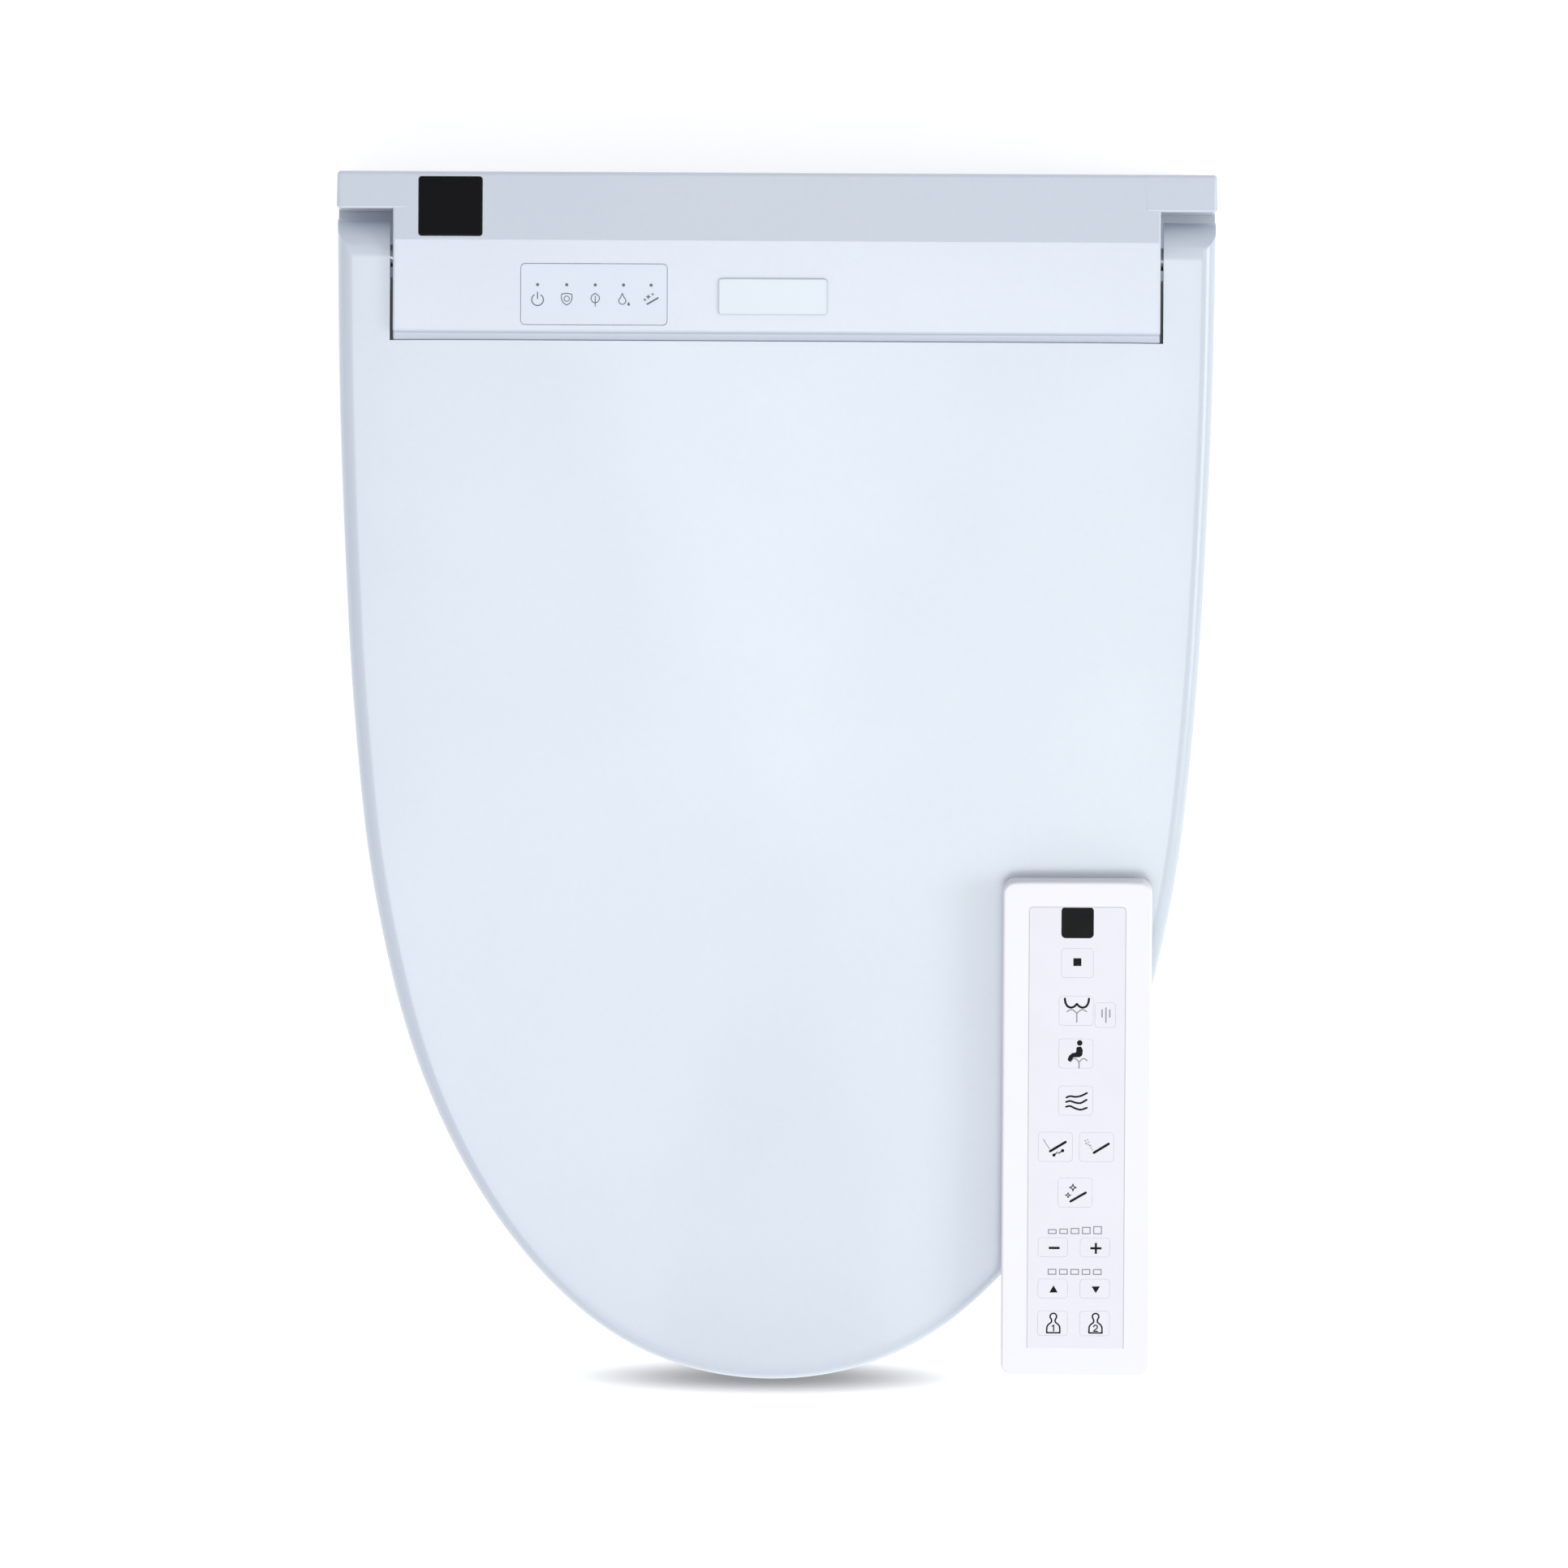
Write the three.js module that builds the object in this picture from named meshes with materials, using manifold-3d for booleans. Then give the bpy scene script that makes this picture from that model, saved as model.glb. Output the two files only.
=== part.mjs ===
// Electric bidet seat with its remote control: rear unit, seat ring, lid, and a remote lying on the lid.
// Millimetres. +Z up, front of the seat at -Y, origin on the bowl rim at the middle of the two fixing points.
import * as THREE from "three";
import { mergeVertices } from "three/addons/utils/BufferGeometryUtils.js";
import Module from "manifold-3d";

const wasm = await Module();
wasm.setup();

// ---------------------------------------------------------------- driving dimensions
const HALF = 193; // half of the overall width
const REAR = 58; // rear face of the unit
const TIP = -472; // front tip of the lid
const TOP = 142; // flat top of the unit
const HINGE_Y = 21; // common hinge axis of seat and lid
const HINGE_Z = 121;
const ROLL = 16; // outer radius of the lid ears round the hinge
const SLOPE = 0.155; // fall of the lid per mm towards the front
const TILT = Math.atan(SLOPE);
const BODY = 168.4; // half width of the unit between the ears
const LIP = 36.5; // radius of the unit's front lip about the hinge
const STRIP = 41.5; // front of the full-width strip along the back
const SEAM = 70; // parting line of base and cover
const WING = 56; // top of the low side wings
const NOSE_X = 58; // nozzle nose under the seat bridge
const NOSE_Y = -84;
const NOSE_TOP = 52; // nose top at its front, rising to the rear
const NOSE_BACK = 63.5;
const SEAT_REAR = -20;
const SEAT_TOP = 86; // seat top height at its rear edge
const SEAT_FALL = 0.089;
const SEAT_BOTTOM = 10;
const WAND_X = -22; // wand axis
const WAND_Y = -80;
const WAND_Z = 30;
const WAND_R = 8;
const WAND_DIP = (15 * Math.PI) / 180;
const REMOTE_X = 133.6; // centre of the remote on the lid
const REMOTE_Y = -358.35;
const REMOTE_W = 65.4;
const REMOTE_L = 220.1;
const REMOTE_T = 17.3;
const GAP = 0.3;

// half width of the lid at each y
const EDGE = [
  [60, 192.9], [26.6, 192.6], [-26.9, 191.9], [-62.6, 190.9], [-98.3, 189.4], [-134, 187.7], [-169.7, 185.5],
  [-205.4, 182.3], [-241.1, 178.4], [-276.8, 171.7], [-312.4, 163.1], [-348.1, 150.3], [-383.8, 132.2],
  [-401.7, 120.5], [-419.5, 106.6], [-437.4, 88.9], [-451.6, 71.4], [-464, 46.5], [-470, 23],
];

// ---------------------------------------------------------------- solids
function solid(geometry) {
  const g = geometry.index ? geometry.toNonIndexed() : geometry.clone();
  const bare = new THREE.BufferGeometry().setAttribute("position", g.getAttribute("position"));
  const m = mergeVertices(bare, 1e-4);
  return new wasm.Manifold(
    new wasm.Mesh({
      numProp: 3,
      vertProperties: new Float32Array(m.attributes.position.array),
      triVerts: new Uint32Array(m.index.array),
    }),
  );
}
const join = (a, ...b) => b.reduce((s, t) => s.add(t), a);
const cut = (a, ...b) => b.reduce((s, t) => s.subtract(t), a);
const meet = (a, b) => a.intersect(b);

function box(x0, x1, y0, y1, z0, z1) {
  const g = new THREE.BoxGeometry(x1 - x0, y1 - y0, z1 - z0);
  g.translate((x0 + x1) / 2, (y0 + y1) / 2, (z0 + z1) / 2);
  return solid(g);
}
// cylinder between two points
function rod(a, b, r, n = 24, r2 = r) {
  const p = new THREE.Vector3(...a),
    q = new THREE.Vector3(...b),
    d = q.clone().sub(p);
  const g = new THREE.CylinderGeometry(r2, r, d.length(), n);
  g.translate(0, d.length() / 2, 0);
  g.applyQuaternion(new THREE.Quaternion().setFromUnitVectors(new THREE.Vector3(0, 1, 0), d.normalize()));
  g.translate(...a);
  return solid(g);
}
const rodX = (x0, x1, y, z, r, n) => rod([x0, y, z], [x1, y, z], r, n);
const shapeOf = (pts) => new THREE.Shape(pts.map(([u, v]) => new THREE.Vector2(u, v)));
function prism(pts, depth) {
  return new THREE.ExtrudeGeometry(shapeOf(pts), { depth, bevelEnabled: false, steps: 1 });
}
// profile in y, z pulled along x
function prismX(pts, x0, x1) {
  const g = prism(pts, x1 - x0);
  g.applyMatrix4(
    new THREE.Matrix4().makeBasis(new THREE.Vector3(0, 1, 0), new THREE.Vector3(0, 0, 1), new THREE.Vector3(1, 0, 0)),
  );
  g.translate(x0, 0, 0);
  return solid(g);
}
// outline in x, y pulled up z
function prismZ(pts, z0, z1) {
  const g = prism(pts, z1 - z0);
  g.translate(0, 0, z0);
  return solid(g);
}
function roundRect(x0, x1, y0, y1, r, n = 3) {
  const pts = [];
  const corner = (cx, cy, a0) => {
    for (let i = 0; i <= n; i++) {
      const a = a0 + (i / n) * (Math.PI / 2);
      pts.push([cx + r * Math.cos(a), cy + r * Math.sin(a)]);
    }
  };
  corner(x1 - r, y1 - r, 0);
  corner(x0 + r, y1 - r, Math.PI / 2);
  corner(x0 + r, y0 + r, Math.PI);
  corner(x1 - r, y0 + r, -Math.PI / 2);
  return pts;
}
// closed skin over a stack of rings that all have the same number of points
function loft(rings) {
  const pos = [],
    n = rings[0].length;
  const tri = (a, b, c) => pos.push(...a, ...b, ...c);
  for (let i = 0; i + 1 < rings.length; i++)
    for (let j = 0; j < n; j++) {
      const k = (j + 1) % n;
      tri(rings[i][j], rings[i][k], rings[i + 1][k]);
      tri(rings[i][j], rings[i + 1][k], rings[i + 1][j]);
    }
  const cap = (ring, up) => {
    const flat = ring.map((p) => new THREE.Vector2(p[0], p[1]));
    for (const [a, b, c] of THREE.ShapeUtils.triangulateShape(flat, []))
      up ? tri(ring[a], ring[b], ring[c]) : tri(ring[c], ring[b], ring[a]);
  };
  cap(rings[0], false);
  cap(rings[rings.length - 1], true);
  return solid(new THREE.BufferGeometry().setAttribute("position", new THREE.Float32BufferAttribute(pos, 3)));
}
// tube along a smooth curve
function tube(points, r, steps, sides = 8) {
  const curve = new THREE.CatmullRomCurve3(points.map((p) => new THREE.Vector3(...p)));
  const ring = [];
  for (let i = 0; i < sides; i++) ring.push([r * Math.cos((2 * Math.PI * i) / sides), r * Math.sin((2 * Math.PI * i) / sides)]);
  return solid(new THREE.ExtrudeGeometry(shapeOf(ring), { steps, extrudePath: curve, bevelEnabled: false }));
}

// ---------------------------------------------------------------- scene graph
const group = new THREE.Group();
const remote = new THREE.Group();
group.add(remote);
const finish = (color, roughness, metalness = 0) => ({ color, roughness, metalness });
const WHITE = finish(0xe4eaf0, 0.22);
const WHITE_DARK = finish(0xc9d2da, 0.35);
const BLACK = finish(0x0b0d10, 0.12);
const GREY = finish(0x8a9096, 0.5);
const STEEL = finish(0xb9bec4, 0.3, 0.9);
const RUBBER = finish(0x55595d, 0.8);
const BOARD = finish(0x1f6b45, 0.5);
const COPPER = finish(0xb87548, 0.4, 0.8);
const CLEAR = finish(0xd8e4ee, 0.2);

function node(name, s, look, parent = group) {
  const m = s.getMesh();
  const v = new Float32Array(m.numVert * 3);
  for (let i = 0; i < m.numVert; i++) v.set(m.vertProperties.subarray(i * m.numProp, i * m.numProp + 3), i * 3);
  const g = new THREE.BufferGeometry().setAttribute("position", new THREE.BufferAttribute(v, 3));
  g.setIndex(new THREE.BufferAttribute(new Uint32Array(m.triVerts), 1));
  g.computeVertexNormals();
  const mesh = new THREE.Mesh(g, new THREE.MeshStandardMaterial(look));
  mesh.name = name;
  parent.add(mesh);
  return mesh;
}

// ---------------------------------------------------------------- surfaces shared by several pieces
const lidZ = (y) => HINGE_Z + ROLL * Math.hypot(1, SLOPE) + SLOPE * (y - HINGE_Y);
const slopeZ = (y) => lidZ(y) + 3.5; // front slope of the unit
const seatZ = (y) => SEAT_TOP + SEAT_FALL * (y - SEAT_REAR);
const skirtZ = (y) => seatZ(y) + 2;
function halfWidth(y) {
  for (let i = 0; i + 1 < EDGE.length; i++)
    if (y <= EDGE[i][0] && y >= EDGE[i + 1][0]) {
      const t = (EDGE[i][0] - y) / (EDGE[i][0] - EDGE[i + 1][0]);
      return EDGE[i][1] + t * (EDGE[i + 1][1] - EDGE[i][1]);
    }
  return EDGE[0][1];
}
// lid outline drawn in by d (a number or a function of y), from the line y = rear forwards, anticlockwise
function rim(d, rear, rearInset = 0) {
  const side = [[halfWidth(rear), rear], ...EDGE.filter(([y]) => y < rear - 14).map(([y, x]) => [x, y])];
  const pts = [...side.map(([x, y]) => [-x, y]), [0, TIP], ...side.reverse()];
  return pts.map((p, i) => {
    const dd = typeof d === "function" ? d(p[1]) : d;
    if (i === 0 || i === pts.length - 1) return [p[0] - Math.sign(p[0]) * dd, p[1] - rearInset];
    const a = pts[i - 1],
      b = pts[i + 1],
      l = Math.hypot(b[0] - a[0], b[1] - a[1]);
    return [p[0] - ((b[1] - a[1]) / l) * dd, p[1] + ((b[0] - a[0]) / l) * dd];
  });
}
const lift = (pts, f) => pts.map(([x, y]) => [x, y, typeof f === "function" ? f(y) : f]);
const about = (r, deg) => [HINGE_Y + r * Math.cos((deg * Math.PI) / 180), HINGE_Z + r * Math.sin((deg * Math.PI) / 180)];
function arc(r, a0, a1, n) {
  const out = [];
  for (let i = 0; i <= n; i++) out.push(about(r, a0 + ((a1 - a0) * i) / n));
  return out;
}
const TANGENT = 90 + (TILT * 180) / Math.PI; // where the lid plane meets the ear roll

// ---------------------------------------------------------------- unit: base case
{
  const noseSide = (d) =>
    prismX([[NOSE_Y - 5, 0], [0, 0], [0, NOSE_BACK - d], [-15, NOSE_BACK - d], [NOSE_Y, NOSE_TOP - d], [NOSE_Y - 5, NOSE_TOP - d]], -80, 80);
  const outer = join(
    box(-BODY, BODY, -15.2, REAR, 2, SEAM),
    box(-HALF, HALF, 12, REAR, 2, WING),
    meet(prismZ(roundRect(-NOSE_X, NOSE_X, NOSE_Y, 0, 8), 12, 70), noseSide(0)),
  );
  const hollow = join(
    box(-BODY + 3, BODY - 3, -12.2, REAR - 3, 5, SEAM + 5),
    box(-HALF + 3, HALF - 3, 15, REAR - 3, 5, WING - 3),
    meet(box(-NOSE_X + 2.5, NOSE_X - 2.5, NOSE_Y + 2.5, -3, 14.5, 70), noseSide(2.5)),
  );
  // raised floor over the bracket pocket
  const plinth = box(-101, 101, -14, 37, 2, 11.5);
  const pocket = box(-98, 98, -11.5, 34, 0, 8.3);
  const d = [0, -Math.cos(WAND_DIP), -Math.sin(WAND_DIP)];
  const port = rod([WAND_X, WAND_Y - 12 * d[1], WAND_Z - 12 * d[2]], [WAND_X, WAND_Y + 20 * d[1], WAND_Z + 20 * d[2]], 10.2, 24);
  const outlet = box(11, 47, NOSE_Y - 2, NOSE_Y + 4, 19.5, 44.5); // warm air mouth
  const inletPocket = box(-195, -174, 20, 46, 1, 36);
  const buttonSlot = box(-195, -186, 25.7, 44.3, 41.7, 52.3);
  const cartridgeSlot = box(186, 195, 17.7, 54.3, 11.7, 50.3);
  const gland = rod([108, 50, 30], [108, 60, 30], 7.3, 20);
  let base = join(cut(outer, hollow), plinth, meet(box(-193, -171, 17, 49, 2, 39), outer));
  base = cut(base, pocket, port, outlet, inletPocket, buttonSlot, cartridgeSlot, gland, rod([-178, 33, 21], [-160, 33, 21], 11, 20));
  node("base_case", base, WHITE_DARK);
}

// ---------------------------------------------------------------- unit: top cover
{
  const profile = (r, drop, inset, z0) => [
    [HINGE_Y - r, z0],
    ...arc(r, 180, 158.5, 3).slice(0, 4),
    [28 - inset * 0.3, slopeZ(28) - drop],
    [REAR - inset - 1.5, TOP - drop],
    [REAR - inset, TOP - drop - 1.5],
    [REAR - inset, z0],
  ];
  const outer = join(
    prismX(profile(LIP, 0, 0, SEAM + GAP), -BODY, BODY),
    cut(
      prismX([[STRIP, WING + GAP], [STRIP, TOP - 1], [STRIP + 1, TOP], [REAR - 1.5, TOP], [REAR, TOP - 1.5], [REAR, WING + GAP]], -HALF, HALF),
      box(-BODY - GAP, BODY + GAP, 0, 90, 0, SEAM + GAP),
    ),
  );
  const hollow = join(
    prismX(profile(LIP - 3, 3, 3, SEAM - 20), -BODY + 3, BODY - 3),
    box(-HALF + 3, HALF - 3, STRIP + 3, REAR - 3, WING - 5, TOP - 3),
  );
  const window = prismZ(roundRect(-157.4, -129.1, 29.5, 55.8, 1.5), TOP - 5, TOP + 2);
  const panel = loft([
    lift(roundRect(-112.6, -47.7, -9.4, 18, 2.3), (y) => slopeZ(y) - 1),
    lift(roundRect(-112.6, -47.7, -9.4, 18, 2.3), (y) => slopeZ(y) + 4),
  ]);
  let cover = cut(outer, hollow, window, panel, rodX(-200, -150, HINGE_Y, HINGE_Z, 5.3), rodX(150, 200, HINGE_Y, HINGE_Z, 5.3));
  // the pin bores stop at the unit's sides, so the strip behind them stays whole
  node("top_cover", cover, WHITE);
  node("sensor_window", prismZ(roundRect(-157.1, -129.4, 29.8, 55.5, 1.2), TOP - 2.5, TOP), BLACK);
  node(
    "display_panel",
    loft([
      lift(roundRect(-112.3, -48, -9.1, 17.7, 2), (y) => slopeZ(y) - 0.7),
      lift(roundRect(-112.3, -48, -9.1, 17.7, 2), (y) => slopeZ(y) + 0.1),
    ]),
    finish(0xe9eef3, 0.3),
  );
  node(
    "badge_plate",
    loft([
      lift(roundRect(-25.6, 22.4, -4.5, 11.6, 2), (y) => slopeZ(y) + GAP),
      lift(roundRect(-25.6, 22.4, -4.5, 11.6, 2), (y) => slopeZ(y) + 0.9),
    ]),
    finish(0xdfe3e8, 0.25),
  );
}

// ---------------------------------------------------------------- unit: fixing bracket, water inlet, cord outlet
node(
  "mounting_bracket",
  cut(
    prismZ(roundRect(-95, 95, -9, 31, 6), 0, 6),
    prismZ(roundRect(-88, -52, -3.5, 3.5, 3.4), -1, 8),
    prismZ(roundRect(52, 88, -3.5, 3.5, 3.4), -1, 8),
  ),
  GREY,
);
node(
  "water_inlet",
  cut(
    join(rodX(-191, -169, 33, 21, 10.4, 28), rodX(-173.6, -170.6, 33, 21, 10.7, 28)),
    rodX(-192, -168, 33, 21, 7, 20),
  ),
  finish(0xd9dde1, 0.4),
);
node("cord_gland", cut(join(rod([108, 51, 30], [108, 57.8, 30], 7, 20), rod([108, 51, 30], [108, 54.4, 30], 9.5, 20)), rod([108, 50, 30], [108, 59, 30], 3.6, 14)), RUBBER);

// ---------------------------------------------------------------- unit: wand, guide and drive
const D = [0, -Math.cos(WAND_DIP), -Math.sin(WAND_DIP)];
const N = [0, -Math.sin(WAND_DIP), Math.cos(WAND_DIP)];
const along = (s, h = 0, x = 0) => [WAND_X + x, WAND_Y - s * D[1] + h * N[1], WAND_Z - s * D[2] + h * N[2]];
{
  const side = WAND_R + GAP + 6; // roller beside the wand, its shaft square to it
  node(
    "nozzle_guide",
    cut(
      rod(along(2), along(126), 10.9, 20),
      rod(along(-2), along(130), WAND_R + 0.5, 24),
      rod(along(45, -26, side), along(45, 8, side), 9.8, 16),
    ),
    finish(0xcfd4d9, 0.45),
  );
  node("wand", cut(rod(along(16.3), along(124), WAND_R, 24), rod(along(30), along(130), 5, 14)), finish(0xe9ecef, 0.25));
  const holes = [5, 8.5].flatMap((s) => [-1.8, 1.8].map((x) => rod(along(s, 4, x), along(s, 12, x), 0.7, 8)));
  node(
    "wand_tip",
    cut(join(rod(along(0), along(2), WAND_R - 1.5, 24, WAND_R), rod(along(2), along(16), WAND_R, 24)), ...holes),
    finish(0xdfe6ec, 0.2),
  );
  node("drive_roller", join(rod(along(45, -5, side), along(45, 5, side), 6, 20), rod(along(45, -8, side), along(45, -4, side), 2, 12)), RUBBER);
  node("wand_motor", rod(along(45, -22, side), along(45, -8.3, side), 9, 20), STEEL);
}

// ---------------------------------------------------------------- unit: water path, electronics, dryer
node(
  "water_heater_tank",
  join(
    prismZ(roundRect(-148, -62, 2, 50, 9), 12.5, 56),
    prismZ(roundRect(-143, -67, 7, 45, 7), 56, 60),
    rod([-104, 24, 58], [-104, 24, 66], 4.4, 14),
    box(-157.5, -147, 29, 37, 18, 26),
  ),
  COPPER,
);
node("inlet_valve", join(box(-168.6, -158, 20, 46, 9, 33), rod([-163, 33, 32], [-163, 33, 44], 7, 16)), finish(0x3f5f86, 0.5));
node("water_pump", join(rod([-48, 3, 24], [-48, 44, 24], 9, 20), rod([-48, 26, 30], [-48, 26, 37], 4, 12)), GREY);
node("supply_hose", tube([[-104, 24, 66.5], [-104, 24, 74], [-96, 24, 84], [-76, 25, 88], [-57, 26, 80], [-48, 26, 62], [-48, 26, 37.6]], 3.6, 22, 8), CLEAR);
node(
  "control_board",
  join(
    box(-95, 95, 47, 48.6, 84, 132),
    box(-70, -40, 38, 47.5, 96, 118),
    box(-20, 4, 41, 47.5, 100, 122),
    box(40, 62, 34, 47.5, 92, 116),
  ),
  BOARD,
);
{
  const cx = 88,
    cz = 43;
  const drum = join(rod([cx, 4, cz], [cx, 38, cz], 29, 32), box(49, 80, 8, 34, 17, 41));
  const room = join(rod([cx, 6, cz], [cx, 36, cz], 27, 32), box(45, 80, 10, 32, 19, 39));
  node("blower_housing", cut(drum, room, rod([cx, 30, cz], [cx, 40, cz], 15, 24)), GREY);
  const blades = [];
  for (let i = 0; i < 12; i++) {
    const a = (i / 12) * 2 * Math.PI;
    const g = new THREE.BoxGeometry(9, 18, 1.4);
    g.rotateY(0.5);
    g.translate(19, 21.5, 0);
    g.rotateY(-a);
    g.translate(cx, 0, cz);
    blades.push(solid(g));
  }
  node("fan_impeller", join(rod([cx, 9, cz], [cx, 12.6, cz], 24, 28), rod([cx, 9, cz], [cx, 28, cz], 7, 18), ...blades), finish(0xd0d5da, 0.4));
  const duct = join(box(12, 46, -78, 34, 20.5, 43.5), box(40, 48.6, 8, 34, 17, 41));
  const bore = join(box(13.8, 44.2, -80, 32, 22.3, 41.7), box(38, 50, 10, 32, 19, 39));
  node("dryer_duct", cut(duct, bore), finish(0xbfc5ca, 0.5));
}
node("dryer_flap", join(box(11.5, 46.5, -83.4, -81.8, 20, 43.6), rodX(11.5, 46.5, -82.2, 42.8, 1.3, 12)), WHITE);
node("deodorizer_cartridge", join(box(124, 190.4, 19, 53, 13, 49), box(186.3, 192.8, 18, 54, 12, 50)), finish(0xd4dade, 0.35));
node("release_button", box(-192.8, -181, 26, 44, 42, 52), GREY);

// ---------------------------------------------------------------- hinge line
node("hinge_pin_left", rodX(-188.5, -150.3, HINGE_Y, HINGE_Z, 5, 24), STEEL);
node("hinge_pin_right", rodX(150.3, 188.5, HINGE_Y, HINGE_Z, 5, 24), STEEL);
node("lid_damper", join(rodX(-150, -112, HINGE_Y, HINGE_Z, 10, 24), box(-140, -120, HINGE_Y - 11.5, HINGE_Y + 11.5, HINGE_Z - 4, HINGE_Z + 4)), finish(0x2b2e31, 0.5));
node("seat_damper", join(rodX(112, 150, HINGE_Y, HINGE_Z, 10, 24), box(120, 140, HINGE_Y - 11.5, HINGE_Y + 11.5, HINGE_Z - 4, HINGE_Z + 4)), finish(0x2b2e31, 0.5));

// ---------------------------------------------------------------- seat
function opening(out) {
  const pts = [],
    n = 36;
  for (let i = 0; i < n; i++) {
    const a = (i / n) * 2 * Math.PI,
      c = Math.cos(a),
      s = Math.sin(a);
    const fy = s > 0 ? 118 : 157; // egg: shorter towards the rear
    const x = Math.sign(c) * Math.abs(c) ** 0.86 * (103 + out);
    const y = -213 + Math.sign(s) * Math.abs(s) ** 0.9 * (fy + out);
    pts.push([x, y]);
  }
  return pts;
}
const SEAT_INSET = 2.5;
const ARCH = 68; // clear height of the arch over the nozzle nose
const seatRim = (d, rd = d) => rim(SEAT_INSET + d, SEAT_REAR, rd);
{
  const outer = loft([
    lift(seatRim(2), SEAT_BOTTOM),
    lift(seatRim(0), SEAT_BOTTOM + 4),
    lift(seatRim(0), (y) => seatZ(y) - 11),
    lift(seatRim(3), (y) => seatZ(y) - 3.5),
    lift(seatRim(10, 8), seatZ),
  ]);
  const hole = loft([
    lift(opening(2), 0),
    lift(opening(0), SEAT_BOTTOM + 4),
    lift(opening(0), (y) => seatZ(y) - 12),
    lift(opening(3), (y) => seatZ(y) - 4),
    lift(opening(16), (y) => seatZ(y) + 2),
  ]);
  const inside = cut(
    loft([lift(seatRim(3), 0), lift(seatRim(3), (y) => seatZ(y) - 12), lift(seatRim(11, 10), (y) => seatZ(y) - 3.5)]),
    loft([lift(opening(3), -5), lift(opening(3), (y) => seatZ(y) - 13), lift(opening(9), (y) => seatZ(y) - 3), lift(opening(9), (y) => seatZ(y) + 9)]),
  );
  const bridge = box(-66, 66, -130, -10, -5, ARCH + 3.4);
  const armHub = (x0, x1) =>
    prismX(
      [[-22.8, 12], [8, 12], [8, 100], about(17, 236), about(12, 236), ...arc(11, 242, 466, 11), [-48, 84], [-48, 81], [-22.8, 80]],
      x0,
      x1,
    );
  const foot = (x0, x1) => prismX([[-22.8, 12], [8, 12], [8, 96], [-23.5, 90], [-40, 83.6], [-40, 81.5], [-22.8, 81]], x0, x1);
  let shell = cut(outer, hole, cut(inside, box(-400, 400, SEAT_REAR - 3, 20, -5, 200)), bridge);
  shell = join(shell, armHub(173, 181), armHub(-181, -173), foot(173, 188), foot(-188, -173));
  shell = cut(shell, rodX(-185, -170, HINGE_Y, HINGE_Z, 5.3), rodX(170, 185, HINGE_Y, HINGE_Z, 5.3));
  node("seat_top_shell", shell, WHITE);

  // underside plate with the arch over the nozzle nose
  const plate = cut(
    loft([lift(seatRim(3.4, 3.6), SEAT_BOTTOM + 0.4), lift(seatRim(3.4, 3.6), SEAT_BOTTOM + 3.2)]),
    loft([lift(opening(3.4), 0), lift(opening(3.4), 40)]),
    box(-65.6, 65.6, -140, -10, 0, 30),
  );
  const archSpan = cut(box(-65.6, 65.6, -130, SEAT_REAR - 0.4, SEAT_BOTTOM + 0.4, ARCH + 3), loft([lift(opening(0.3), -5), lift(opening(0.3), 120)]));
  const arch = cut(archSpan, box(-62.6, 62.6, -140, 0, 0, ARCH));
  node("seat_bottom_plate", join(plate, arch), WHITE_DARK);
  node(
    "seat_heater",
    cut(
      loft([lift(seatRim(19, 15), (y) => seatZ(y) - 5.2), lift(seatRim(19, 15), (y) => seatZ(y) - 3.9)]),
      loft([lift(opening(13), -5), lift(opening(13), 200)]),
    ),
    COPPER,
  );
  const pads = { seat_bumper_front_left: [-88, -398], seat_bumper_front_right: [88, -398], seat_bumper_rear_left: [-140, -120], seat_bumper_rear_right: [140, -120] };
  for (const [name, [x, y]] of Object.entries(pads)) node(name, prismZ(roundRect(x - 9, x + 9, y - 17, y + 17, 8.9, 5), 0, SEAT_BOTTOM), RUBBER);
}

// ---------------------------------------------------------------- lid
{
  const far = 45;
  const bevel = (y) => 8 - 5.5 * Math.min(1, Math.max(0, (-y - 300) / 172));
  const outer = loft([
    lift(rim(0, far), skirtZ),
    lift(rim(0, far), (y) => lidZ(y) - 6),
    lift(rim((y) => 0.3 * bevel(y), far), (y) => lidZ(y) - 2),
    lift(rim(bevel, far), lidZ),
  ]);
  const inner = loft([
    lift(rim(3, far), -40),
    lift(rim(3, far), (y) => lidZ(y) - 7.5),
    lift(rim((y) => bevel(y) + 2, far), (y) => lidZ(y) - 3.2),
  ]);
  const rearQ = [-16.8, skirtZ(-16.8)];
  const top = about(ROLL, TANGENT);
  const ears = [[-490, -20], [rearQ[0], -20], rearQ, ...arc(ROLL, 345, 360 + TANGENT, 9), [top[0], top[1] + 12], [-490, lidZ(-490) + 40]];
  const topIn = about(ROLL - 3, TANGENT);
  const hollowSide = [[-490, -60], [about(40, 345)[0], -60], about(40, 345), ...arc(13, 345, 360 + TANGENT, 9), [-490, topIn[1] - SLOPE * (topIn[0] + 490)]];
  const cavity = cut(meet(inner, prismX(hollowSide, -300, 300)), box(-172.4, 172.4, -20.8, 90, -90, 300));
  let lid = cut(meet(outer, prismX(ears, -300, 300)), cavity, box(-169.3, 169.3, -16.8, 90, -90, 300));
  lid = join(lid, rodX(182, 191, HINGE_Y, HINGE_Z, 9, 24), rodX(-191, -182, HINGE_Y, HINGE_Z, 9, 24));
  lid = cut(lid, rodX(165, 189.2, HINGE_Y, HINGE_Z, 5.3), rodX(-189.2, -165, HINGE_Y, HINGE_Z, 5.3));
  node("lid_shell", lid, WHITE);
  for (const [name, x] of [["lid_bumper_left", -128], ["lid_bumper_right", 128]])
    node(
      name,
      loft([
        lift(roundRect(x - 7, x + 7, -339, -325, 6.9, 5), (y) => seatZ(y) + GAP),
        lift(roundRect(x - 7, x + 7, -339, -325, 6.9, 5), (y) => lidZ(y) - 3.2 - GAP),
      ]),
      RUBBER,
    );
}

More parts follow.
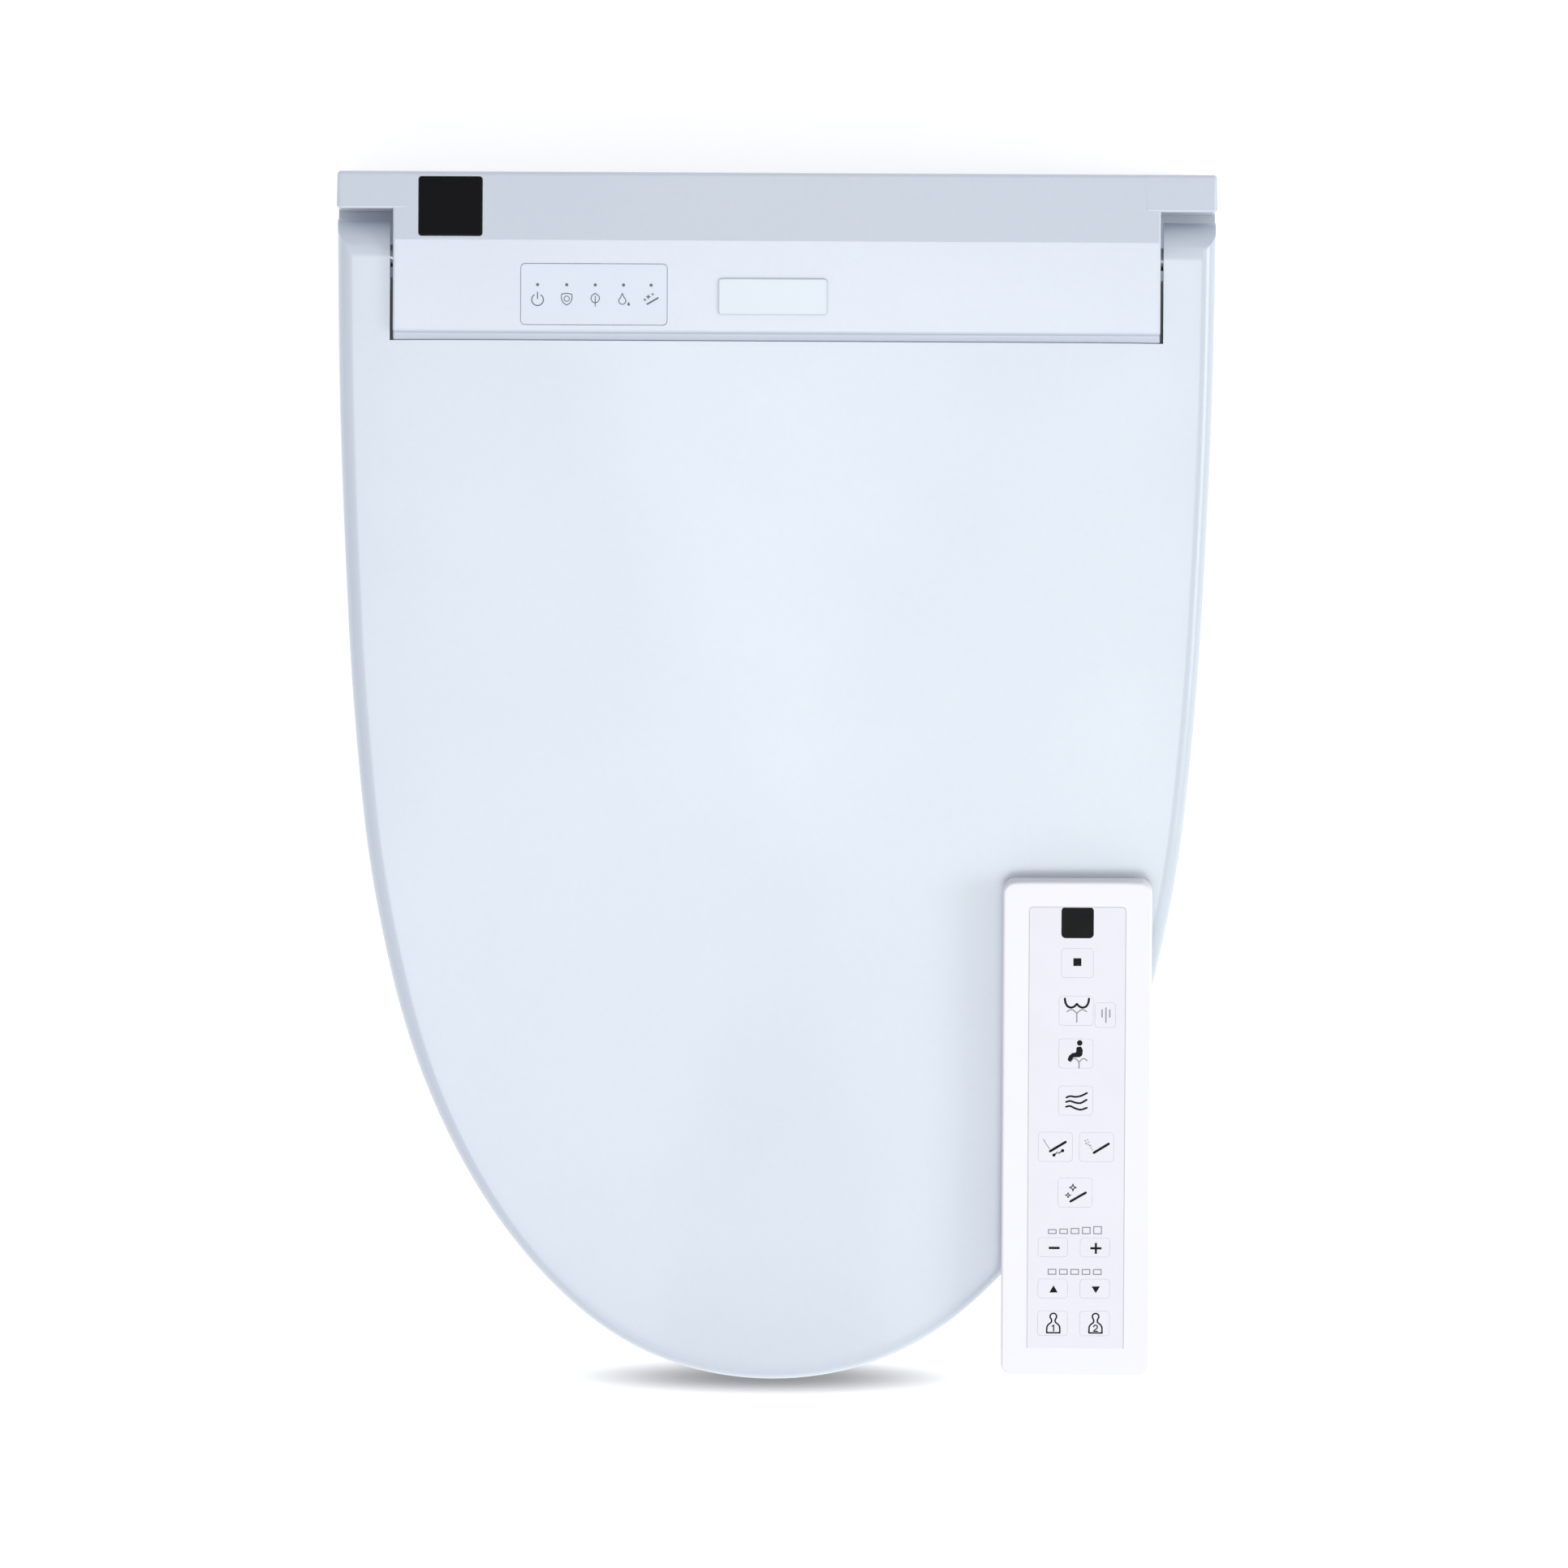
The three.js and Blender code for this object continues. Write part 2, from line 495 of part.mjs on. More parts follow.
// ---------------------------------------------------------------- remote, lying on the slope of the lid
remote.position.set(REMOTE_X, REMOTE_Y, lidZ(REMOTE_Y));
remote.rotation.x = TILT;
{
  const w = REMOTE_W / 2,
    l = REMOTE_L / 2,
    t = REMOTE_T,
    split = 8,
    wall = 1.8,
    k = 1 / Math.cos(TILT);
  const shape = (d, r) => roundRect(-w + d, w - d, -l + d, l - d, r);
  const put = (name, s, look) => node(name, s, look, remote);
  const KEYS = {
    key_stop: [0, 72.9, 14, 13],
    key_rear: [-0.4, 51.9, 15, 13],
    key_soft: [12.4, 50.1, 9, 11],
    key_front: [-0.4, 33.1, 15, 13],
    key_dryer: [-0.4, 12.4, 15, 13],
    key_oscillate: [-9.2, -8, 15, 13],
    key_pulse: [8.9, -8, 15, 13],
    key_wand_clean: [-0.4, -28.1, 15, 13],
    key_minus: [-10, -52.2, 13, 8.5],
    key_plus: [8.5, -52.2, 13, 8.5],
    key_up: [-10, -70.4, 13, 8.5],
    key_down: [8.5, -70.4, 13, 8.5],
    key_user_1: [-10, -85.7, 13, 11],
    key_user_2: [8.5, -85.7, 13, 11],
  };
  const capOf = ([x, y, kw, kh], grow, z0, z1) => prismZ(roundRect(x - kw / 2 - grow, x + kw / 2 + grow, (y * k) - kh / 2 - grow, (y * k) + kh / 2 + grow, 1.5 + grow, 2), z0, z1);
  let front = cut(
    loft([lift(shape(0.3, 5), split + GAP), lift(shape(0, 5), split + 2), lift(shape(0, 5), t - 1.2), lift(shape(0.9, 4.4), t)]),
    prismZ(shape(wall, 3.4), split - 5, t - wall),
    prismZ(roundRect(-7.3, 7.3, 83.6 * k, 97.7 * k, 2), t - 3, t + 2),
    ...Object.values(KEYS).map((q) => capOf(q, GAP, t - 3, t + 2)),
  );
  put("remote_front_case", front, finish(0xf0f1f5, 0.35));
  const back = cut(
    loft([lift(shape(2.5, 4), GAP), lift(shape(0, 5), GAP + 2.5), lift(shape(0, 5), split - 0.5), lift(shape(0.3, 5), split)]),
    prismZ(shape(wall, 3.4), GAP + wall, split + 5),
    box(-15.3, 15.3, -l - 5, -35, -2, GAP + wall + 1),
  );
  put("remote_back_case", back, finish(0xe6e8ec, 0.4));
  put("remote_ir_window", prismZ(roundRect(-7, 7, 83.9 * k, 97.4 * k, 1.8), t - 1.6, t), BLACK);
  put("battery_door", join(box(-15, 15, -l + 2.6, -35.3, GAP, GAP + wall), box(-13, 13, -60, -40, GAP + wall - 0.2, GAP + wall + 0.7)), finish(0xe0e3e8, 0.45));
  put("battery_1", join(rod([-6, -80, 8.2], [-6, -36.5, 8.2], 5.2, 20), rod([-6, -36.6, 8.2], [-6, -35.5, 8.2], 1.9, 12)), finish(0x3a6ea5, 0.35));
  put("battery_2", join(rod([6, -80, 8.2], [6, -36.5, 8.2], 5.2, 20), rod([6, -80, 8.2], [6, -81.2, 8.2], 1.9, 12)), finish(0x3a6ea5, 0.35));
  put("remote_board", box(-26, 26, -100, 100, 13.9, 14.4), BOARD);
  for (const [name, q] of Object.entries(KEYS)) put(name, capOf(q, 0, t - 2.2, t), finish(0xececf1, 0.4));
}

export default group;
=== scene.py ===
import math

import bmesh
import bpy
import numpy as np
from mathutils import Matrix, Vector


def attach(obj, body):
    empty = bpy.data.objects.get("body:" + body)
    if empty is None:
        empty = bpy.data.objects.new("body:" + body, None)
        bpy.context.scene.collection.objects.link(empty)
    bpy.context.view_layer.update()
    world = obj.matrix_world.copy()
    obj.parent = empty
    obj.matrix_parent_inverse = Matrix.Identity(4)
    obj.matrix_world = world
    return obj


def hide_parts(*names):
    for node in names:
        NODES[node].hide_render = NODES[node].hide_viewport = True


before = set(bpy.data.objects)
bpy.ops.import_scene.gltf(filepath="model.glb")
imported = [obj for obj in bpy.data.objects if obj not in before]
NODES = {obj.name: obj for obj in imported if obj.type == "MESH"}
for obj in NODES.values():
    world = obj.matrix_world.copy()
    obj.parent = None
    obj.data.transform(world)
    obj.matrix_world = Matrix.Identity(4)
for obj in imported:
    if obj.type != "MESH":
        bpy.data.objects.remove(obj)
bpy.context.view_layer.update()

MM = 0.001

# ------------------------------------------------------------------ dimensions, millimetres, as in the CAD
HALF, REAR, TIP, TOP = 193.0, 58.0, -472.0, 142.0
HY, HZ, ROLL, SLOPE = 21.0, 121.0, 16.0, 0.155
TILT = math.atan(SLOPE)
BODY, LIP, STRIP, SEAM, WING = 168.4, 36.5, 41.5, 70.0, 56.0
NOSE_X, NOSE_Y, NOSE_TOP, NOSE_BACK = 58.0, -84.0, 52.0, 63.5
SEAT_REAR, SEAT_TOP, SEAT_FALL, SEAT_BOTTOM, ARCH = -20.0, 86.0, 0.089, 10.0, 68.0
WX, WY, WZ, WR, DIP = -22.0, -80.0, 30.0, 8.0, math.radians(15)
RX, RY, RW, RL, RT = 133.6, -358.35, 65.4, 220.1, 17.3
TANGENT = 90 + math.degrees(TILT)


def lid_z(y):
    return HZ + ROLL * math.hypot(1, SLOPE) + SLOPE * (y - HY)


def slope_z(y):
    return lid_z(y) + 3.5


def seat_z(y):
    return SEAT_TOP + SEAT_FALL * (y - SEAT_REAR)


def skirt_z(y):
    return seat_z(y) + 2


EDGE = [
    (60, 192.9), (26.6, 192.6), (-26.9, 191.9), (-62.6, 190.9), (-98.3, 189.4), (-134, 187.7), (-169.7, 185.5),
    (-205.4, 182.3), (-241.1, 178.4), (-276.8, 171.7), (-312.4, 163.1), (-348.1, 150.3), (-383.8, 132.2),
    (-401.7, 120.5), (-419.5, 106.6), (-437.4, 88.9), (-451.6, 71.4), (-464, 46.5), (-470, 23),
]


# ------------------------------------------------------------------ mesh tools
def mesh_object(name, verts, faces):
    me = bpy.data.meshes.new(name)
    me.from_pydata([(v[0] * MM, v[1] * MM, v[2] * MM) for v in verts], [], faces)
    me.update()
    ob = bpy.data.objects.new(name, me)
    bpy.context.scene.collection.objects.link(ob)
    return ob


def clean(ob, dist=0.01):
    bm = bmesh.new()
    bm.from_mesh(ob.data)
    bmesh.ops.remove_doubles(bm, verts=bm.verts, dist=dist * MM)
    bmesh.ops.dissolve_degenerate(bm, edges=bm.edges, dist=0.002 * MM)
    bmesh.ops.recalc_face_normals(bm, faces=bm.faces)
    bm.to_mesh(ob.data)
    bm.free()
    return ob


def bake(ob):
    dg = bpy.context.evaluated_depsgraph_get()
    me = bpy.data.meshes.new_from_object(ob.evaluated_get(dg))
    ob.modifiers.clear()
    old = ob.data
    ob.data = me
    bpy.data.meshes.remove(old)
    return ob


def carve(ob, *cutters, op="DIFFERENCE"):
    for cutter in cutters:
        m = ob.modifiers.new("carve", "BOOLEAN")
        m.operation = op
        m.object = cutter
        m.solver = "MANIFOLD"
        bpy.context.view_layer.update()
        before = len(ob.data.polygons)
        bake(ob)
        if len(ob.data.polygons) == 0:
            print("EMPTY after boolean:", ob.name, cutter.name, before)
        bpy.data.objects.remove(cutter, do_unlink=True)
    return ob


def fuse(ob, *others):
    return carve(ob, *others, op="UNION")


def smooth(ob, angle=32):
    me = ob.data
    me.polygons.foreach_set("use_smooth", [True] * len(me.polygons))
    me.set_sharp_from_angle(angle=math.radians(angle))
    me.update()
    return ob


def soften(ob, width=0.5, segments=2, angle=38):
    m = ob.modifiers.new("edges", "BEVEL")
    m.width = width * MM
    m.segments = segments
    m.limit_method = "ANGLE"
    m.angle_limit = math.radians(angle)
    m.harden_normals = True
    m.use_clamp_overlap = True
    m.miter_outer = "MITER_ARC"
    return ob


def loft(name, rings, cap=True):
    n = len(rings[0])
    verts = [p for r in rings for p in r]
    faces = []
    for i in range(len(rings) - 1):
        for j in range(n):
            k = (j + 1) % n
            faces.append((i * n + j, i * n + k, (i + 1) * n + k, (i + 1) * n + j))
    if cap:
        faces.append(tuple(reversed(range(n))))
        faces.append(tuple((len(rings) - 1) * n + j for j in range(n)))
    return mesh_object(name, verts, faces)


def box(x0, x1, y0, y1, z0, z1, name="block"):
    v = [(x, y, z) for x in (x0, x1) for y in (y0, y1) for z in (z0, z1)]
    f = [(0, 1, 3, 2), (4, 6, 7, 5), (0, 4, 5, 1), (2, 3, 7, 6), (0, 2, 6, 4), (1, 5, 7, 3)]
    return mesh_object(name, v, f)


def offset(poly, d):
    """Closed anticlockwise outline drawn in by d."""
    p = np.array(poly, float)
    a, b = np.roll(p, 1, 0), np.roll(p, -1, 0)
    t1, t2 = p - a, b - p
    t1 /= np.linalg.norm(t1, axis=1)[:, None] + 1e-12
    t2 /= np.linalg.norm(t2, axis=1)[:, None] + 1e-12
    n1, n2 = np.stack([-t1[:, 1], t1[:, 0]], 1), np.stack([-t2[:, 1], t2[:, 0]], 1)
    m = n1 + n2
    m /= np.linalg.norm(m, axis=1)[:, None] + 1e-12
    c = np.clip((m * n1).sum(1), 0.35, 1)
    return p + m * (d / c)[:, None]


def pull(name, outline, lo, hi, axis="Z", r=0.0, seg=5, r_lo=None):
    """Outline pulled between two levels along an axis, with its end edges rounded."""
    r_lo = r if r_lo is None else r_lo
    levels = []
    if r_lo > 0:
        levels = [(lo + r_lo * (1 - math.cos(i / seg * math.pi / 2)), r_lo * (1 - math.sin(i / seg * math.pi / 2))) for i in range(seg + 1)]
    else:
        levels.append((lo, 0))
    if r > 0:
        levels += [(hi - r + r * math.sin(i / seg * math.pi / 2), r * (1 - math.cos(i / seg * math.pi / 2))) for i in range(seg + 1)]
    else:
        levels.append((hi, 0))
    rings = []
    for w, d in levels:
        q = offset(outline, d) if d > 1e-9 else np.array(outline, float)
        if axis == "Z":
            rings.append([(u, v, w) for u, v in q])
        elif axis == "X":  # outline in y, z
            rings.append([(w, u, v) for u, v in q])
        else:  # "Y": outline in z, x
            rings.append([(v, w, u) for u, v in q])
    return loft(name, rings)


def rounded(x0, x1, y0, y1, r, n=6):
    pts = []
    for cx, cy, a0 in ((x1 - r, y1 - r, 0), (x0 + r, y1 - r, 90), (x0 + r, y0 + r, 180), (x1 - r, y0 + r, 270)):
        for i in range(n + 1):
            a = math.radians(a0 + 90 * i / n)
            pts.append((cx + r * math.cos(a), cy + r * math.sin(a)))
    return pts


def fillet(pts, radii, n=5):
    """Closed outline with its corners rounded."""
    out = []
    m = len(pts)
    for i, p in enumerate(pts):
        r = radii[i] if isinstance(radii, (list, tuple)) else radii
        if r <= 0:
            out.append(p)
            continue
        a, b = np.array(pts[i - 1], float), np.array(pts[(i + 1) % m], float)
        q = np.array(p, float)
        u, v = a - q, b - q
        lu, lv = np.linalg.norm(u), np.linalg.norm(v)
        u, v = u / lu, v / lv
        ang = math.acos(max(-1, min(1, float(u @ v))))
        d = min(r / math.tan(ang / 2), 0.49 * min(lu, lv))
        p0, p1 = q + u * d, q + v * d
        for k in range(n + 1):
            t = k / n
            out.append(tuple((1 - t) ** 2 * p0 + 2 * t * (1 - t) * q + t**2 * p1))
    return out


def rod(name, a, b, r, n=40, r2=None, edge=0.0):
    """Round bar from a to b, its ends rounded by edge."""
    a, b = Vector(a), Vector(b)
    d = b - a
    L = d.length
    q = Vector((0, 0, 1)).rotation_difference(d.normalized())
    r2 = r if r2 is None else r2
    prof = []
    if edge > 0:
        prof += [(edge * (1 - math.cos(i / 4 * math.pi / 2)), r - edge * (1 - math.sin(i / 4 * math.pi / 2))) for i in range(5)]
        prof += [(L - edge + edge * math.sin(i / 4 * math.pi / 2), r2 - edge * (1 - math.cos(i / 4 * math.pi / 2))) for i in range(5)]
    else:
        prof = [(0, r), (L, r2)]
    rings = []
    for h, rr in prof:
        rings.append([tuple(a + q @ Vector((rr * math.cos(2 * math.pi * j / n), rr * math.sin(2 * math.pi * j / n), h))) for j in range(n)])
    return loft(name, rings)


def about(r, deg):
    return (HY + r * math.cos(math.radians(deg)), HZ + r * math.sin(math.radians(deg)))


def arc(r, a0, a1, n):
    return [about(r, a0 + (a1 - a0) * i / n) for i in range(n + 1)]


# ------------------------------------------------------------------ the lid outline as one smooth curve
def smooth_edge(count=300):
    side = [(x, y) for y, x in EDGE]
    pts = np.array([(-x, y) for x, y in side] + [(0, TIP)] + side[::-1], float)
    # centripetal spline through the points, then even spacing and a light smoothing
    P = np.vstack([2 * pts[0] - pts[1], pts, 2 * pts[-1] - pts[-2]])
    fine = []
    for i in range(1, len(P) - 2):
        p0, p1, p2, p3 = P[i - 1], P[i], P[i + 1], P[i + 2]
        t = [0.0]
        for a, b in ((p0, p1), (p1, p2), (p2, p3)):
            t.append(t[-1] + math.sqrt(np.linalg.norm(b - a)))
        for s in np.linspace(t[1], t[2], 24, endpoint=False):
            a1 = (t[1] - s) / (t[1] - t[0]) * p0 + (s - t[0]) / (t[1] - t[0]) * p1
            a2 = (t[2] - s) / (t[2] - t[1]) * p1 + (s - t[1]) / (t[2] - t[1]) * p2
            a3 = (t[3] - s) / (t[3] - t[2]) * p2 + (s - t[2]) / (t[3] - t[2]) * p3
            b1 = (t[2] - s) / (t[2] - t[0]) * a1 + (s - t[0]) / (t[2] - t[0]) * a2
            b2 = (t[3] - s) / (t[3] - t[1]) * a2 + (s - t[1]) / (t[3] - t[1]) * a3
            fine.append((t[2] - s) / (t[2] - t[1]) * b1 + (s - t[1]) / (t[2] - t[1]) * b2)
    fine.append(pts[-1])
    fine = np.array(fine)

    def even(q, m):
        s = np.concatenate([[0], np.cumsum(np.linalg.norm(np.diff(q, axis=0), axis=1))])
        u = np.linspace(0, s[-1], m)
        return np.stack([np.interp(u, s, q[:, 0]), np.interp(u, s, q[:, 1])], 1)

    q = even(fine, 420)
    for _ in range(60):
        q[1:-1] = 0.25 * q[:-2] + 0.5 * q[1:-1] + 0.25 * q[2:]
    q[:, 0] = (q[:, 0] - q[::-1, 0]) / 2  # the same on both sides
    q[:, 1] = (q[:, 1] + q[::-1, 1]) / 2
    q[:, 1] += TIP - q[:, 1].min()
    return q


CURVE = smooth_edge()


def rim(d, rear, rear_inset=0.0, count=240):
    """The lid outline drawn in by d, cut off at y = rear: anticlockwise, open at the back."""
    q = CURVE
    half = q[len(q) // 2 :]  # tip to rear, right side
    x_rear = np.interp(rear, half[:, 1], half[:, 0])
    keep = half[half[:, 1] < rear - 1e-6]
    right = np.vstack([keep, [x_rear, rear]])
    s = np.concatenate([[0], np.cumsum(np.linalg.norm(np.diff(right, axis=0), axis=1))])
    u = np.linspace(0, s[-1], count // 2 + 1)
    right = np.stack([np.interp(u, s, right[:, 0]), np.interp(u, s, right[:, 1])], 1)
    right[0] = (0, TIP)
    left = right[::-1][:-1] * [-1, 1]
    p = np.vstack([left, right])
    t = np.gradient(p, axis=0)
    t /= np.linalg.norm(t, axis=1)[:, None]
    n = np.stack([-t[:, 1], t[:, 0]], 1)
    dd = np.array([d(y) for y in p[:, 1]]) if callable(d) else np.full(len(p), float(d))
    out = p + n * dd[:, None]
    for i in (0, -1):
        out[i] = (p[i, 0] - np.sign(p[i, 0]) * dd[i], p[i, 1] - rear_inset)
    # points near the back never pass the back line
    out[1:-1, 1] = np.minimum(out[1:-1, 1], rear - rear_inset - 0.02)
    return out


def lift(pts, f):
    return [(x, y, f(y) if callable(f) else f) for x, y in pts]


# ------------------------------------------------------------------ materials
def _new(name):
    m = bpy.data.materials.new(name)
    m.use_nodes = True
    nt = m.node_tree
    return m, nt, nt.nodes["Principled BSDF"]


def _node(nt, kind, **sockets):
    n = nt.nodes.new(kind)
    for k, v in sockets.items():
        n.inputs[k.replace("_", " ")].default_value = v
    return n


def srgb(c):
    return tuple(((v / 255) / 12.92 if v / 255 <= 0.04045 else ((v / 255 + 0.055) / 1.055) ** 2.4) for v in c) + (1.0,)


def moulded(name, light, dark, rough=0.25, spread=0.06, grain=0.0, grain_scale=900, ripple=0.00002, ripple_scale=55,
            coat=0.0, scuff=0.0, scuff_tone=None, metal=0.0, streak=None, sheen=0.0, patch=6.0, ior=1.47):
    """Moulded or painted surface: slow colour drift, uneven gloss, fine grain, faint flow ripple and handling scuffs."""
    m, nt, b = _new(name)
    L = nt.links
    tc = nt.nodes.new("ShaderNodeTexCoord")
    src = tc.outputs["Object"]
    if streak:
        mp = nt.nodes.new("ShaderNodeMapping")
        mp.inputs["Scale"].default_value = streak
        L.new(src, mp.inputs["Vector"])
        fine_src = mp.outputs["Vector"]
    else:
        fine_src = src
    # colour: slow drift plus a finer mottle
    n1 = _node(nt, "ShaderNodeTexNoise", Scale=patch, Detail=3.0, Roughness=0.55)
    L.new(src, n1.inputs["Vector"])
    n2 = _node(nt, "ShaderNodeTexNoise", Scale=grain_scale * 0.35, Detail=2.0, Roughness=0.6)
    L.new(fine_src, n2.inputs["Vector"])
    mixf = nt.nodes.new("ShaderNodeMix")
    mixf.data_type = "FLOAT"
    mixf.inputs[0].default_value = 0.25
    L.new(n1.outputs["Fac"], mixf.inputs[2])
    L.new(n2.outputs["Fac"], mixf.inputs[3])
    ramp = nt.nodes.new("ShaderNodeValToRGB")
    ramp.color_ramp.elements[0].position = 0.32
    ramp.color_ramp.elements[1].position = 0.68
    ramp.color_ramp.elements[0].color = srgb(dark)
    ramp.color_ramp.elements[1].color = srgb(light)
    L.new(mixf.outputs[0], ramp.inputs["Fac"])
    colour = ramp.outputs["Color"]
    # scuffs: thin crossing marks and small specks
    w = _node(nt, "ShaderNodeTexNoise", Scale=34.0, Detail=8.0, Roughness=0.72, Distortion=1.6)
    mp2 = nt.nodes.new("ShaderNodeMapping")
    mp2.inputs["Scale"].default_value = (1.0, 6.0, 3.0)
    mp2.inputs["Rotation"].default_value = (0.2, 0.1, 0.7)
    L.new(src, mp2.inputs["Vector"])
    L.new(mp2.outputs["Vector"], w.inputs["Vector"])
    mark = nt.nodes.new("ShaderNodeMapRange")
    mark.inputs["From Min"].default_value = 0.60
    mark.inputs["From Max"].default_value = 0.72
    L.new(w.outputs["Fac"], mark.inputs["Value"])
    if scuff > 0:
        mc = nt.nodes.new("ShaderNodeMix")
        mc.data_type = "RGBA"
        f = nt.nodes.new("ShaderNodeMath")
        f.operation = "MULTIPLY"
        f.inputs[1].default_value = scuff
        L.new(mark.outputs["Result"], f.inputs[0])
        L.new(f.outputs[0], mc.inputs[0])
        L.new(colour, mc.inputs[6])
        mc.inputs[7].default_value = srgb(scuff_tone or tuple(v * 0.82 for v in dark))
        colour = mc.outputs[2]
    L.new(colour, b.inputs["Base Color"])
    # gloss varies with smears and scuffs
    n3 = _node(nt, "ShaderNodeTexNoise", Scale=patch * 3.1, Detail=4.0, Roughness=0.6)
    L.new(src, n3.inputs["Vector"])
    mr = nt.nodes.new("ShaderNodeMapRange")
    mr.inputs["From Min"].default_value = 0.3
    mr.inputs["From Max"].default_value = 0.7
    mr.inputs["To Min"].default_value = max(0.02, rough - spread)
    mr.inputs["To Max"].default_value = rough + spread
    L.new(n3.outputs["Fac"], mr.inputs["Value"])
    add = nt.nodes.new("ShaderNodeMath")
    add.operation = "MULTIPLY_ADD"
    add.inputs[1].default_value = 0.012 + scuff * 0.9
    L.new(mark.outputs["Result"], add.inputs[0])
    L.new(mr.outputs["Result"], add.inputs[2])
    L.new(add.outputs[0], b.inputs["Roughness"])
    # bump: moulding ripple and surface grain
    n4 = _node(nt, "ShaderNodeTexNoise", Scale=ripple_scale, Detail=1.0)
    L.new(src, n4.inputs["Vector"])
    b1 = nt.nodes.new("ShaderNodeBump")
    b1.inputs["Distance"].default_value = ripple
    b1.inputs["Strength"].default_value = 1.0
    L.new(n4.outputs["Fac"], b1.inputs["Height"])
    n5 = _node(nt, "ShaderNodeTexNoise", Scale=grain_scale, Detail=3.0, Roughness=0.7)
    L.new(fine_src, n5.inputs["Vector"])
    b2 = nt.nodes.new("ShaderNodeBump")
    b2.inputs["Distance"].default_value = 0.00004
    b2.inputs["Strength"].default_value = max(0.02, grain)
    L.new(n5.outputs["Fac"], b2.inputs["Height"])
    L.new(b1.outputs["Normal"], b2.inputs["Normal"])
    L.new(b2.outputs["Normal"], b.inputs["Normal"])
    b.inputs["Metallic"].default_value = metal
    b.inputs["IOR"].default_value = ior
    b.inputs["Coat Weight"].default_value = coat
    b.inputs["Coat Roughness"].default_value = 0.06
    return m


